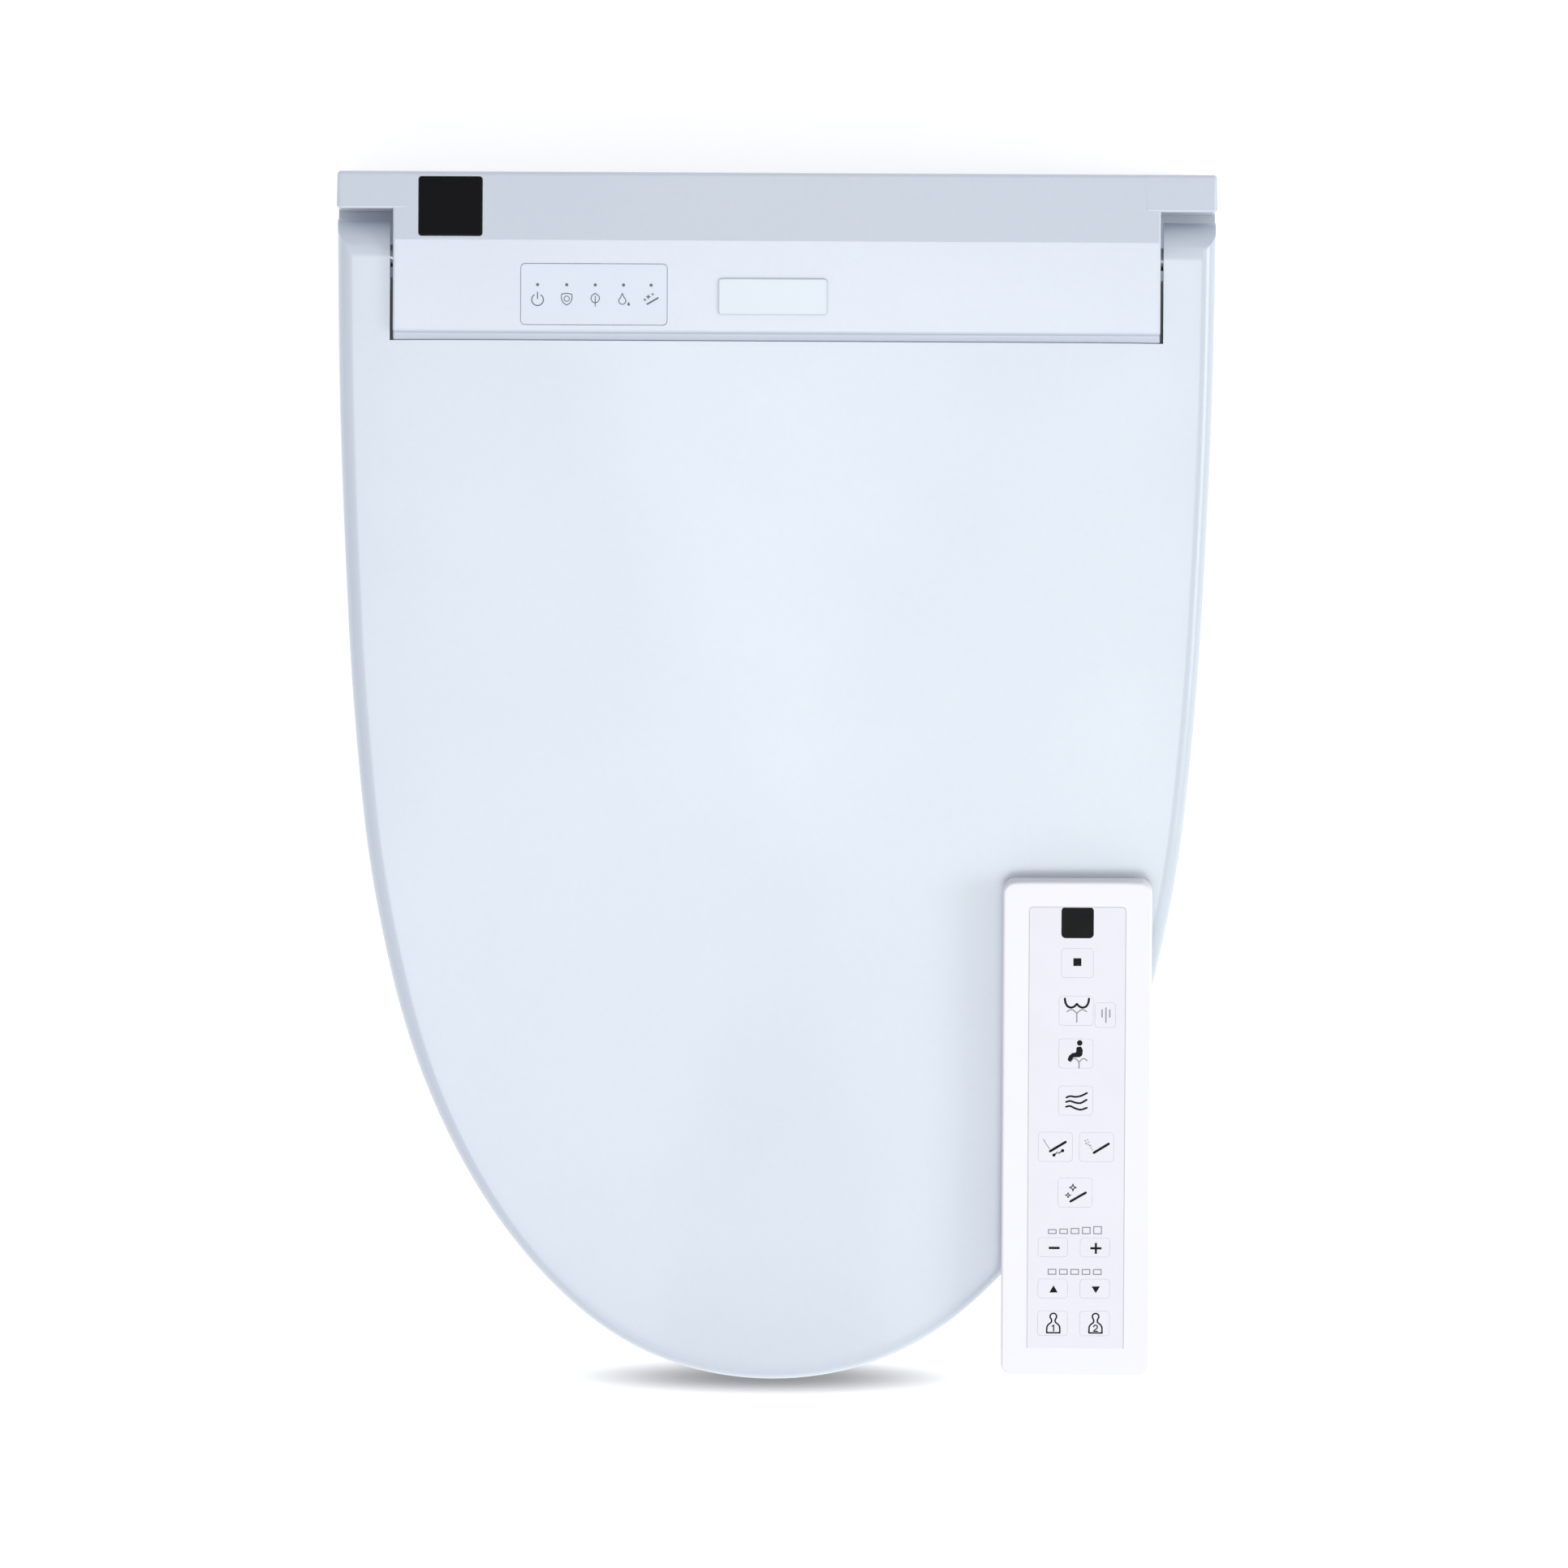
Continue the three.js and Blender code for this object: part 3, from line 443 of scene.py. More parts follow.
M = {
    "lid": moulded("lid_gloss", (197, 204, 213), (192, 199, 209), rough=0.24, spread=0.02, coat=0.15, patch=3.0, ripple=0.000008, scuff=0.004),
    "cover": moulded("cover_gloss", (200, 206, 216), (195, 201, 212), rough=0.25, spread=0.02, coat=0.12, patch=4.0, ripple=0.000008, scuff=0.004),
    "seat": moulded("seat_gloss", (203, 210, 218), (198, 205, 214), rough=0.22, spread=0.03, coat=0.2, patch=5.0, ripple=0.00001, scuff=0.01),
    "seat_under": moulded("seat_under_satin", (194, 200, 208), (187, 193, 202), rough=0.48, spread=0.08, grain=0.35, scuff=0.08),
    "base": moulded("base_satin", (192, 198, 206), (185, 191, 200), rough=0.46, spread=0.08, grain=0.4, scuff=0.1),
    "black": moulded("sensor_black", (13, 13, 14), (8, 8, 10), rough=0.12, spread=0.03, ripple=0.000004, scuff=0.02, scuff_tone=(40, 41, 44), ior=1.22),
    "panel": moulded("panel_film", (202, 209, 219), (200, 207, 217), rough=0.26, spread=0.012, grain=0.06, patch=12.0),
    "badge": moulded("badge_blank", (209, 216, 223), (206, 213, 221), rough=0.25, spread=0.012, grain=0.08, patch=12.0, streak=(1, 18, 1)),
    "ir": moulded("window_black", (6, 6, 7), (3, 3, 4), rough=0.2, spread=0.04, ripple=0.000004, patch=30.0, scuff=0.01, scuff_tone=(30, 30, 33), ior=1.12),
    # grey for the thin lines of painted edge shade round the display film and the badge
    "line_cool": moulded("painted_edge_shade_line", (184, 192, 204), (178, 186, 198), rough=0.5, spread=0.05, grain=0.2, patch=60.0),
    "print": moulded("print_black", (20, 21, 23), (12, 13, 15), rough=0.5, spread=0.08, grain=0.3, patch=90.0, ior=1.2),
    "print_grey": moulded("print_grey", (142, 144, 149), (128, 130, 136), rough=0.5, spread=0.08, grain=0.3, patch=90.0),
    "print_pale": moulded("print_pale", (98, 105, 116), (86, 93, 104), rough=0.5, spread=0.06, grain=0.2, patch=90.0),
    "line": moulded("print_line", (190, 190, 197), (182, 182, 190), rough=0.5, spread=0.05, grain=0.2, patch=60.0),
    "remote": moulded("remote_shell", (231, 229, 234), (228, 226, 231), rough=0.4, spread=0.03, grain=0.14, grain_scale=1400, patch=14.0, scuff=0.01),
    "key": moulded("remote_panel", (223, 221, 228), (221, 219, 226), rough=0.42, spread=0.03, grain=0.12, grain_scale=1400, patch=20.0, scuff=0.01),
    "door": moulded("battery_door", (236, 237, 241), (229, 230, 235), rough=0.46, spread=0.06, grain=0.3, patch=16.0, scuff=0.06),
    "grey": moulded("inner_grey", (150, 154, 160), (134, 139, 146), rough=0.5, spread=0.1, grain=0.5, patch=18.0, scuff=0.15),
    "wand": moulded("wand_white", (235, 237, 240), (226, 229, 233), rough=0.2, spread=0.04, coat=0.3, patch=30.0),
    "duct": moulded("duct_grey", (196, 201, 206), (183, 189, 195), rough=0.5, spread=0.08, grain=0.4, patch=20.0, scuff=0.1),
    "rubber": moulded("rubber_grey", (98, 103, 108), (82, 87, 93), rough=0.78, spread=0.08, grain=1.0, grain_scale=1600, patch=30.0, scuff=0.12, scuff_tone=(140, 142, 145)),
    "steel": moulded("steel_turned", (196, 198, 202), (170, 173, 178), rough=0.28, spread=0.08, metal=1.0, grain=0.4, streak=(40, 1, 1), patch=40.0),
    "copper": moulded("copper_foil", (196, 132, 92), (172, 110, 74), rough=0.36, spread=0.1, metal=1.0, grain=0.5, patch=25.0, scuff=0.2, scuff_tone=(120, 74, 52)),
    "board": moulded("board_green", (26, 92, 58), (18, 74, 46), rough=0.4, spread=0.08, grain=0.8, grain_scale=500, patch=60.0, scuff=0.25, scuff_tone=(150, 152, 120)),
    "hose": moulded("hose_milky", (222, 229, 235), (208, 216, 223), rough=0.35, spread=0.06, patch=40.0),
    "damper": moulded("damper_black", (38, 40, 43), (28, 30, 33), rough=0.5, spread=0.08, grain=0.5, patch=30.0, scuff=0.15),
    "valve": moulded("valve_blue", (60, 92, 134), (48, 76, 116), rough=0.48, spread=0.08, grain=0.5, patch=30.0, scuff=0.12),
    "battery": moulded("battery_skin", (52, 98, 150), (40, 80, 128), rough=0.3, spread=0.06, patch=60.0, scuff=0.1),
}


def paint(ob, key):
    ob.data.materials.clear()
    ob.data.materials.append(M[key])
    return ob


def place(ob, key, body, replaces=(), flat=True):
    paint(ob, key)
    if flat:  # broad faces stay flat up to their rounded edges
        m = ob.modifiers.new("weighted", "WEIGHTED_NORMAL")
        m.keep_sharp = True
        m.weight = 60
    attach(ob, body)
    if replaces:
        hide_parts(*replaces)
    return ob


# ------------------------------------------------------------------ lid
def make_lid():
    far = 45.0

    def band(y):
        return 6.4 - 3.9 * min(1, max(0, (-y - 300) / 172))

    crown, reach = 1.3, 62.0
    rings = []
    for d, z in ((2.6, 0.0), (1.2, 0.05), (0.5, 0.35), (0.1, 1.0), (0.0, 1.8)):
        rings.append(lift(rim(d, far), lambda y, z=z: skirt_z(y) + z))
    h = 6.2
    for f in (0.0, 0.5):
        rings.append(lift(rim(0, far), lambda y, f=f: (1 - f) * (skirt_z(y) + 3) + f * (lid_z(y) - crown - h - 1)))
    n = 9
    for i in range(n + 1):
        t = i / n * math.pi / 2
        rings.append(lift(rim(lambda y, t=t: band(y) * (1 - math.cos(t)), far), lambda y, t=t: lid_z(y) - crown - h * (1 - math.sin(t)) * (0.6 + 0.4 * band(y) / 8)))
    for k in range(1, 15):
        u = k / 14
        rings.append(
            lift(
                rim(lambda y, u=u: band(y) + u * (reach - band(y)), far),
                lambda y, u=u: lid_z(y) - crown * (1 - u) ** 2.2,
            )
        )
    body = loft("lid_shell_visual", rings)
    ears = [(-490, -20), (-16.8, -20), (-16.8, skirt_z(-16.8)), *arc(ROLL, 345, 360 + TANGENT, 48)]
    top = about(ROLL, TANGENT)
    ears += [(top[0], top[1] + 12), (-490, lid_z(-490) + 60)]
    carve(body, pull("ears", ears, -300, 300, "X"), op="INTERSECT")
    inner = loft(
        "inner",
        [
            lift(rim(3, far), -40.0),
            lift(rim(3, far), lambda y: lid_z(y) - 10),
            *[
                lift(rim(lambda y, t=t: 3 + 7 * (1 - math.cos(t)) * band(y) / 8, far), lambda y, t=t: lid_z(y) - 4.6 - 5.4 * (1 - math.sin(t)))
                for t in [i / 5 * math.pi / 2 for i in range(1, 6)]
            ],
            lift(rim(36, far), lambda y: lid_z(y) - 3.6),
        ],
    )
    out = about(40, 345)
    topin = about(ROLL - 3, TANGENT)
    side = [(-490, -60), (out[0], -60), out, *arc(13, 345, 360 + TANGENT, 40), (-490, topin[1] - SLOPE * (topin[0] + 490))]
    carve(inner, pull("side", side, -300, 300, "X"), op="INTERSECT")
    carve(inner, box(-172.4, 172.4, -20.8, 90, -90, 300))
    # stiffening ribs hang from the roof of the hollow
    for x in (-92, 0, 92):
        rib = [(-330, lid_z(-330) - 8.4), (-21, lid_z(-21) - 8.4), (-21, lid_z(-21) + 5), (-330, lid_z(-330) + 5)]
        carve(inner, pull("rib", rib, x - 0.9, x + 0.9, "X"))
    carve(body, inner)
    # the notch for the unit: its front wall follows the swing of the hinge
    notch = pull("notch", [(-16.8, 60), (120, 60), (120, 170), about(38.45, 150), *arc(38.45, 150.5, 190.5, 26), (-16.8, 113.8)], -169.7, 169.7, "X")
    carve(body, notch)
    for s in (-1, 1):
        fuse(body, rod("boss", (s * 182, HY, HZ), (s * 191, HY, HZ), 9, 56, edge=0.6))
        carve(body, rod("bore", (s * 165, HY, HZ), (s * 189.2, HY, HZ), 5.3, 40))
    clean(body, 0.02)
    smooth(body, 30)
    soften(body, 0.45, 3, 40)
    return place(body, "lid", "lid", ["lid_shell"], flat=False)


lid = make_lid()


# ------------------------------------------------------------------ seat
def opening(out, n=220):
    pts = []
    for i in range(n):
        a = 2 * math.pi * i / n
        c, s = math.cos(a), math.sin(a)
        fy = 118 if s > 0 else 157
        pts.append((math.copysign(abs(c) ** 0.86, c) * (103 + out), -213 + math.copysign(abs(s) ** 0.9, s) * (fy + out)))
    p = np.array(pts)
    s = np.concatenate([[0], np.cumsum(np.linalg.norm(np.diff(np.vstack([p, p[0]]), axis=0), axis=1))])
    u = np.linspace(0, s[-1], n, endpoint=False)
    q = np.vstack([p, p[0]])
    p = np.stack([np.interp(u, s, q[:, 0]), np.interp(u, s, q[:, 1])], 1)
    for _ in range(14):
        p = 0.25 * np.roll(p, 1, 0) + 0.5 * p + 0.25 * np.roll(p, -1, 0)
    return p


def seat_rim(d, rd=None):
    return rim(2.5 + d, SEAT_REAR, d if rd is None else rd)


def quarter(n):
    return [i / n * math.pi / 2 for i in range(n + 1)]


def make_seat():
    rings = [lift(seat_rim(2), SEAT_BOTTOM), lift(seat_rim(0.6), SEAT_BOTTOM + 0.8), lift(seat_rim(0), SEAT_BOTTOM + 2.4)]
    for f in (0.0, 0.5):
        rings.append(lift(seat_rim(0), lambda y, f=f: (1 - f) * (SEAT_BOTTOM + 4) + f * (seat_z(y) - 13)))
    for t in quarter(9):
        rings.append(lift(seat_rim(11 * (1 - math.cos(t))), lambda y, t=t: seat_z(y) - 1.6 - 9.6 * (1 - math.sin(t))))
    for u in (0.25, 0.5, 0.75, 1.0):
        rings.append(lift(seat_rim(11 + 22 * u), lambda y, u=u: seat_z(y) - 1.6 * (1 - u) ** 2))
    body = loft("seat_shell_visual", rings)
    hole = [lift(opening(2), 0.0), lift(opening(0.4), SEAT_BOTTOM + 2), lift(opening(0), SEAT_BOTTOM + 5)]
    hole.append(lift(opening(0), lambda y: seat_z(y) - 13))
    for t in quarter(9)[1:]:
        hole.append(lift(opening(15 * (1 - math.cos(t))), lambda y, t=t: seat_z(y) - 13 + 11.4 * math.sin(t)))
    for u, z in ((0.5, -0.7), (1.0, -0.02), (1.2, 4)):
        hole.append(lift(opening(15 + 12 * u), lambda y, z=z: seat_z(y) + z))
    carve(body, loft("hole", hole))
    inside = loft("inside", [lift(seat_rim(3), 0.0), lift(seat_rim(3), lambda y: seat_z(y) - 14), lift(seat_rim(12), lambda y: seat_z(y) - 5.2)])
    core = loft(
        "core",
        [lift(opening(3), -5.0), lift(opening(3), lambda y: seat_z(y) - 14), lift(opening(12), lambda y: seat_z(y) - 5), lift(opening(12), lambda y: seat_z(y) + 9)],
    )
    carve(inside, core)
    carve(inside, box(-400, 400, SEAT_REAR - 3, 20, -5, 200))
    carve(body, inside)
    carve(body, box(-66, 66, -130, -10, -5, ARCH + 3.4))
    hub = [(-22.8, 12), (8, 12), (8, 100), about(17, 236), about(12, 236), *arc(11, 242, 466, 36), (-48, 84), (-48, 81), (-22.8, 80)]
    foot = [(-22.8, 12), (8, 12), (8, 96), (-23.5, 90), (-40, 83.6), (-40, 81.5), (-22.8, 81)]
    for s in (-1, 1):
        lo, hi = sorted((s * 173, s * 181))
        fuse(body, pull("hub", hub, lo, hi, "X", r=0.8, seg=3))
        lo, hi = sorted((s * 173.2, s * 188))
        fuse(body, pull("foot", fillet(foot, [0, 2.5, 2, 0, 0, 0, 0]), lo, hi, "X", r=1.2, seg=3))
        carve(body, rod("bore", (s * 170, HY, HZ), (s * 185, HY, HZ), 5.3, 40))
    clean(body, 0.02)
    smooth(body, 34)
    soften(body, 0.4, 2, 42)
    return place(body, "seat", "seat", ["seat_top_shell"], flat=False)


seat = make_seat()


def make_seat_plate():
    plate = loft("seat_plate_visual", [lift(seat_rim(4.2, 4.4), SEAT_BOTTOM + 0.4), lift(seat_rim(3.4, 3.6), SEAT_BOTTOM + 1.2), lift(seat_rim(3.4, 3.6), SEAT_BOTTOM + 3.2)])
    carve(plate, loft("c", [lift(opening(3.4), 0.0), lift(opening(3.4), 40.0)]))
    carve(plate, box(-65.6, 65.6, -140, -10, 0, 30))
    arch = box(-65.6, 65.6, -130, SEAT_REAR - 0.4, SEAT_BOTTOM + 0.4, ARCH + 3)
    carve(arch, pull("span", rounded(-30, ARCH, -62.6, 62.6, 4, 6), -140, 0, "Y"))
    carve(arch, loft("c2", [lift(opening(0.3), -5.0), lift(opening(0.3), 120.0)]))
    fuse(plate, arch)
    # shallow round pockets over the screws, and a moulded groove that follows the rim
    for x, y in ((-150, -60), (150, -60), (-152, -200), (152, -200), (-138, -320), (138, -320), (-62, -426), (62, -426)):
        carve(plate, rod("p", (x, y, 9), (x, y, SEAT_BOTTOM + 1.6), 4.6, 32))
    outer = loft("g1", [lift(seat_rim(13, 13), 5.0), lift(seat_rim(13, 13), SEAT_BOTTOM + 1.1)])
    carve(outer, loft("g2", [lift(seat_rim(15, 15), 0.0), lift(seat_rim(15, 15), 40.0)]))
    carve(outer, box(-72, 72, -150, 0, 0, 60))
    carve(plate, outer)
    clean(plate, 0.02)
    smooth(plate, 34)
    soften(plate, 0.35, 2, 42)
    return place(plate, "seat_under", "seat", ["seat_bottom_plate"])


seat_plate = make_seat_plate()


def pad(name, x, y, z0, z1, body, node, lx=9, ly=17, top=None):
    o = rounded(x - lx, x + lx, y - ly, y + ly, min(lx, ly) - 0.1, 10)
    p = pull(name, o, z0, z1, "Z", r=1.2, seg=3, r_lo=1.6)
    if top:
        co = p.data.vertices
        for v in co:
            t = (v.co.z / MM - z0) / (z1 - z0)
            v.co.z = ((1 - t) * top[0](v.co.y / MM) + t * top[1](v.co.y / MM)) * MM
    smooth(p, 40)
    return place(p, "rubber", body, [node])


for nm, x, y in (("front_left", -88, -398), ("front_right", 88, -398), ("rear_left", -140, -120), ("rear_right", 140, -120)):
    pad("seat_pad_" + nm, x, y, 0.0, SEAT_BOTTOM, "seat", "seat_bumper_" + nm)
for nm, x in (("left", -128), ("right", 128)):
    pad("lid_pad_" + nm, x, -332, 0.0, 10.0, "lid", "lid_bumper_" + nm, 7, 7, (lambda y: seat_z(y) + 0.3, lambda y: lid_z(y) - 3.5))


# ------------------------------------------------------------------ unit: top cover
def cover_profile(r, drop, inset, z0, n=10, crisp=True):
    pts = [(HY - LIP, z0), (HY - LIP, 110.0), about(r, 190), *arc(r, 188, 166.6, n)] if crisp else [(HY - r, z0), *arc(r, 180, 164.5, n)]
    if crisp:  # a narrow level ledge below the edge of the slope
        pts += [(-15.6, 130.15), (-15.2, 130.25), (-13.4, 130.3), (-12.9, 130.5), (-12.6, 131.0), (-12.45, 132.0), (-12.35, 134.2), (-12.2, 134.9), (-11.9, 135.35), (-11.3, slope_z(-11.3))]
    else:
        pts += [about(r, 160.5)]
    pts += [(28 - inset * 0.3, slope_z(28) - drop), (REAR - inset - (2.0 if crisp else 0), TOP - drop)]
    if crisp:
        pts += [(REAR - inset - 2.0 + 2.0 * math.sin(t), TOP - drop - 2.0 * (1 - math.cos(t))) for t in quarter(5)[1:]]
    else:
        pts += [(REAR - inset, TOP - drop)]
    pts += [(REAR - inset, z0)]
    return pts[::-1]


def make_cover():
    body = pull("cover_visual", cover_profile(38.0, 0, 0, SEAM + 0.3, 16), -BODY, BODY, "X", r=0.9, seg=3)
    for s in (-1, 1):  # the ends that reach out behind the lid
        lo, hi = sorted((s * (BODY - 6), s * HALF))
        outline = fillet([(STRIP, WING + 0.3), (REAR, WING + 0.3), (REAR, TOP), (STRIP, TOP)], [0, 0, 2.0, 1.0], 5)
        strip = pull("strip", outline, lo, hi, "X", r=1.6 if s > 0 else 0, seg=5, r_lo=0 if s > 0 else 1.6)
        carve(strip, box(-BODY - 0.3, BODY + 0.3, 0, 90, 0, SEAM + 0.3))
        fuse(body, strip)
    hollow = pull("hollow", cover_profile(LIP - 3, 3, 3, SEAM - 20, 8, False), -BODY + 3, BODY - 3, "X")
    carve(body, hollow)
    carve(body, box(-HALF + 3, HALF - 3, STRIP + 3, REAR - 3, WING - 5, TOP - 3))
    carve(body, pull("win", rounded(-157.4, -129.1, 29.5, 55.8, 1.5, 6), TOP - 2.8, TOP + 2, "Z"))
    panel = pull("pan", rounded(-112.45, -47.85, -9.25, 17.85, 2.15, 8), 0, 1, "Z")
    for v in panel.data.vertices:
        t = v.co.z / MM
        v.co.z = (slope_z(v.co.y / MM) - 1 + 5 * t) * MM
    carve(body, panel)
    for s in (-1, 1):
        lo, hi = sorted((s * 150, s * 200))
        carve(body, rod("bore", (lo, HY, HZ), (hi, HY, HZ), 5.3, 40))
    clean(body, 0.02)
    smooth(body, 30)
    me = body.data
    sharp = me.attributes.get("sharp_edge") or me.attributes.new("sharp_edge", "BOOLEAN", "EDGE")
    for e in me.edges:  # a crisp line where the slope meets the flat top
        a, b = (me.vertices[i].co / MM for i in e.vertices)
        if abs(a.y - 28) < 0.05 and abs(b.y - 28) < 0.05 and a.z > 140 and b.z > 140:
            sharp.data[e.index].value = True
    soften(body, 0.35, 2, 44)
    return place(body, "cover", "unit", ["top_cover"])


cover = make_cover()


def sloped(name, outline, lo, hi, r=0.15, seg=2):
    """A thin plate that follows the front slope of the unit, between two heights over it."""
    p = pull(name, outline, lo, hi, "Z", r=r, seg=seg, r_lo=0)
    for v in p.data.vertices:
        v.co.z += slope_z(v.co.y / MM) * MM
    smooth(p, 40)
    return p


place(sloped("display_film", rounded(-112.3, -48, -9.1, 17.7, 2, 8), -0.7, 0.08), "panel", "unit", ["display_panel"])
place(sloped("badge_blank", rounded(-25.6, 22.4, -4.5, 11.6, 1.6, 8), 0.3, 0.9, 0.3, 3), "badge", "unit", ["badge_plate"])
win = pull("sensor_lens", rounded(-157.1, -129.4, 29.8, 55.5, 1.2, 8), TOP - 2.5, TOP, "Z", r=0.5, seg=4, r_lo=0)
smooth(win, 45)
place(win, "black", "unit", ["sensor_window"])


# ------------------------------------------------------------------ unit: base
def turned(name, origin, axis, prof, n=56):
    """Round piece from (height, radius) pairs along an axis."""
    o = Vector(origin)
    q = Vector((0, 0, 1)).rotation_difference(Vector(axis).normalized())
    rings = [[tuple(o + q @ Vector((r * math.cos(2 * math.pi * j / n), r * math.sin(2 * math.pi * j / n), h))) for j in range(n)] for h, r in prof]
    return loft(name, rings)


DV = Vector((0, -math.cos(DIP), -math.sin(DIP)))
NV = Vector((0, -math.sin(DIP), math.cos(DIP)))


def along(s, h=0.0, x=0.0):
    return Vector((WX + x, WY, WZ)) - DV * s + NV * h


def make_base():
    base = pull("base_visual", rounded(-BODY, BODY, -15.2, REAR, 2.6, 5), 2, SEAM, "Z", r=0.4, seg=4, r_lo=1.4)
    wings = pull("wings", rounded(-HALF, HALF, 12, REAR, 3.5, 6), 2, WING, "Z", r=0.4, seg=4, r_lo=1.4)
    nose = pull("nose", rounded(-NOSE_X, NOSE_X, NOSE_Y, 0, 8, 10), 12, 70, "Z", r=0, seg=5, r_lo=3.0)

    def side(d):
        return pull("side", [(NOSE_Y - 5, 0), (0, 0), (0, NOSE_BACK - d), (-15, NOSE_BACK - d), (NOSE_Y, NOSE_TOP - d), (NOSE_Y - 5, NOSE_TOP - d)], -80, 80, "X")

    carve(nose, side(0), op="INTERSECT")
    smooth(nose, 30)
    fuse(base, wings, nose)
    carve(base, box(-BODY + 3, BODY - 3, -12.2, REAR - 3, 5, SEAM + 5))
    carve(base, box(-HALF + 3, HALF - 3, 15, REAR - 3, 5, WING - 3))
    room = box(-NOSE_X + 2.5, NOSE_X - 2.5, NOSE_Y + 2.5, -3, 14.5, 70)
    carve(room, side(2.5), op="INTERSECT")
    carve(base, room)
    fuse(base, box(-101, 101, -14, 37, 2, 11.5))
    block = box(-193, -171, 17, 49, 2, 39)
    carve(block, pull("w2", rounded(-HALF, HALF, 12, REAR, 3.5, 6), 1, WING, "Z"), op="INTERSECT")
    fuse(base, block)
    carve(base, pull("pocket", rounded(-98, 98, -11.5, 34, 5, 6), 0, 8.3, "Z"))
    carve(base, rod("port", along(-20), along(12), 10.2, 72))
    carve(base, pull("outlet", rounded(19.5, 44.5, 11, 47, 1.4, 5), NOSE_Y - 2, NOSE_Y + 4, "Y"))
    carve(base, pull("inlet", rounded(20, 46, -6, 36, 4, 6), -195, -174, "X"))
    carve(base, pull("slot", rounded(25.7, 44.3, 41.7, 52.3, 1.6, 5), -195, -186, "X"))
    carve(base, pull("slot2", rounded(17.7, 54.3, 11.7, 50.3, 2.4, 5), 186, 195, "X"))
    carve(base, rod("gland", (108, 50, 30), (108, 60, 30), 7.3, 48), rod("tail", (-178, 33, 21), (-160, 33, 21), 11, 48))
    clean(base, 0.02)
    smooth(base, 34)
    soften(base, 0.4, 2, 42)
    return place(base, "base", "unit", ["base_case"])


base = make_base()


def make_bracket():
    b = pull("bracket_visual", rounded(-95, 95, -9, 31, 6, 8), 0, 6, "Z", r=0.8, seg=3, r_lo=0.8)
    for s in (-1, 1):
        lo, hi = sorted((s * 52, s * 88))
        carve(b, pull("slot", rounded(lo, hi, -3.5, 3.5, 3.4, 8), -1, 8, "Z"))
    # lightening recess along the rear half
    carve(b, pull("recess", rounded(-84, 84, 8, 26, 3, 6), 3.2, 8, "Z"))
    for x in (-56, -28, 0, 28, 56):
        fuse(b, box(x - 0.9, x + 0.9, 7, 27, 2.5, 5.6))
    clean(b, 0.02)
    smooth(b, 34)
    soften(b, 0.3, 2, 42)
    return place(b, "grey", "unit", ["mounting_bracket"])


make_bracket()


def make_inlet():
    prof = [(0, 8.9), (0.5, 9.6)]
    h = 1.0
    while h < 14.6:  # moulded thread
        prof += [(h, 9.75), (h + 0.45, 10.35), (h + 0.75, 10.35), (h + 1.2, 9.75)]
        h += 1.5
    prof += [(16.4, 9.75), (17.4, 10.2), (17.4, 10.7), (20.4, 10.7), (20.6, 10.4), (22, 10.4)]
    t = turned("inlet_visual", (-191, 33, 21), (1, 0, 0), prof, 72)
    carve(t, rod("bore", (-192, 33, 21), (-168, 33, 21), 7, 56))
    clean(t)
    smooth(t, 40)
    return place(t, "wand", "unit", ["water_inlet"])


make_inlet()


def make_gland():
    prof = [(0, 8.6), (0.5, 9.5), (3.0, 9.5), (3.4, 9.1), (3.4, 7.0), (6.2, 7.0), (6.8, 6.2)]
    t = turned("gland_visual", (108, 51, 30), (0, 1, 0), prof, 56)
    carve(t, rod("bore", (108, 50, 30), (108, 60, 30), 3.6, 40))
    for i in range(8):
        a = 2 * math.pi * i / 8
        carve(t, rod("slot", (108 + 5.4 * math.cos(a), 56.6, 30 + 5.4 * math.sin(a)), (108 + 5.4 * math.cos(a), 59, 30 + 5.4 * math.sin(a)), 0.7, 16))
    clean(t)
    smooth(t, 40)
    soften(t, 0.2, 2, 50)
    return place(t, "rubber", "unit", ["cord_gland"])


make_gland()


# ------------------------------------------------------------------ wand and its tip
def make_wand():
    w = rod("wand_visual", along(16.3), along(124), WR, 72, edge=0.5)
    carve(w, rod("bore", along(30), along(130), 5, 48))
    # three fine seal grooves behind the tip
    for s in (18.6, 20.4, 22.2):
        ring = rod("ring", along(s), along(s + 0.7), WR + 2, 72)
        carve(ring, rod("core", along(s - 1), along(s + 2), WR - 0.35, 72))
        carve(w, ring)
    clean(w)
    smooth(w, 34)
    place(w, "wand", "wand", ["wand"])
    prof = [(2.2 * (1 - math.cos(t)), WR - 2.2 * (1 - math.sin(t))) for t in [i / 8 * math.pi / 2 for i in range(9)]]
    t = turned("wand_tip_visual", along(0), -DV, prof + [(15.6, WR), (16.0, WR - 0.4)], 72)
    # flat spray face on the upper side
    for s in (5, 8.5):
        for x in (-1.8, 1.8):
            carve(t, rod("spray", along(s, 4, x), along(s, 12, x), 0.7, 24))
            seat_ring = rod("ring", along(s, 7.4, x), along(s, 12, x), 1.25, 24)
            carve(t, seat_ring)
    carve(t, rod("wash", along(12.2, 5.5), along(12.2, 12), 1.6, 32))
    clean(t)
    smooth(t, 34)
    soften(t, 0.12, 2, 40)
    place(t, "panel", "wand", ["wand_tip"])


make_wand()


def make_flap():
    f = pull("flap_visual", rounded(20, 43.6, 11.5, 46.5, 1.2, 5), -83.4, -81.8, "Y", r=0.35, seg=3)
    for z in (24, 27.2, 30.4, 33.6, 36.8):
        carve(f, pull("groove", rounded(z - 0.6, z + 0.6, 14.5, 43.5, 0.58, 5), -84.4, -83.0, "Y"))
    fuse(f, rod("barrel", (11.5, -82.2, 42.8), (46.5, -82.2, 42.8), 1.3, 32, edge=0.2))
    clean(f)
    smooth(f, 34)
    return place(f, "cover", "flap", ["dryer_flap"])


make_flap()


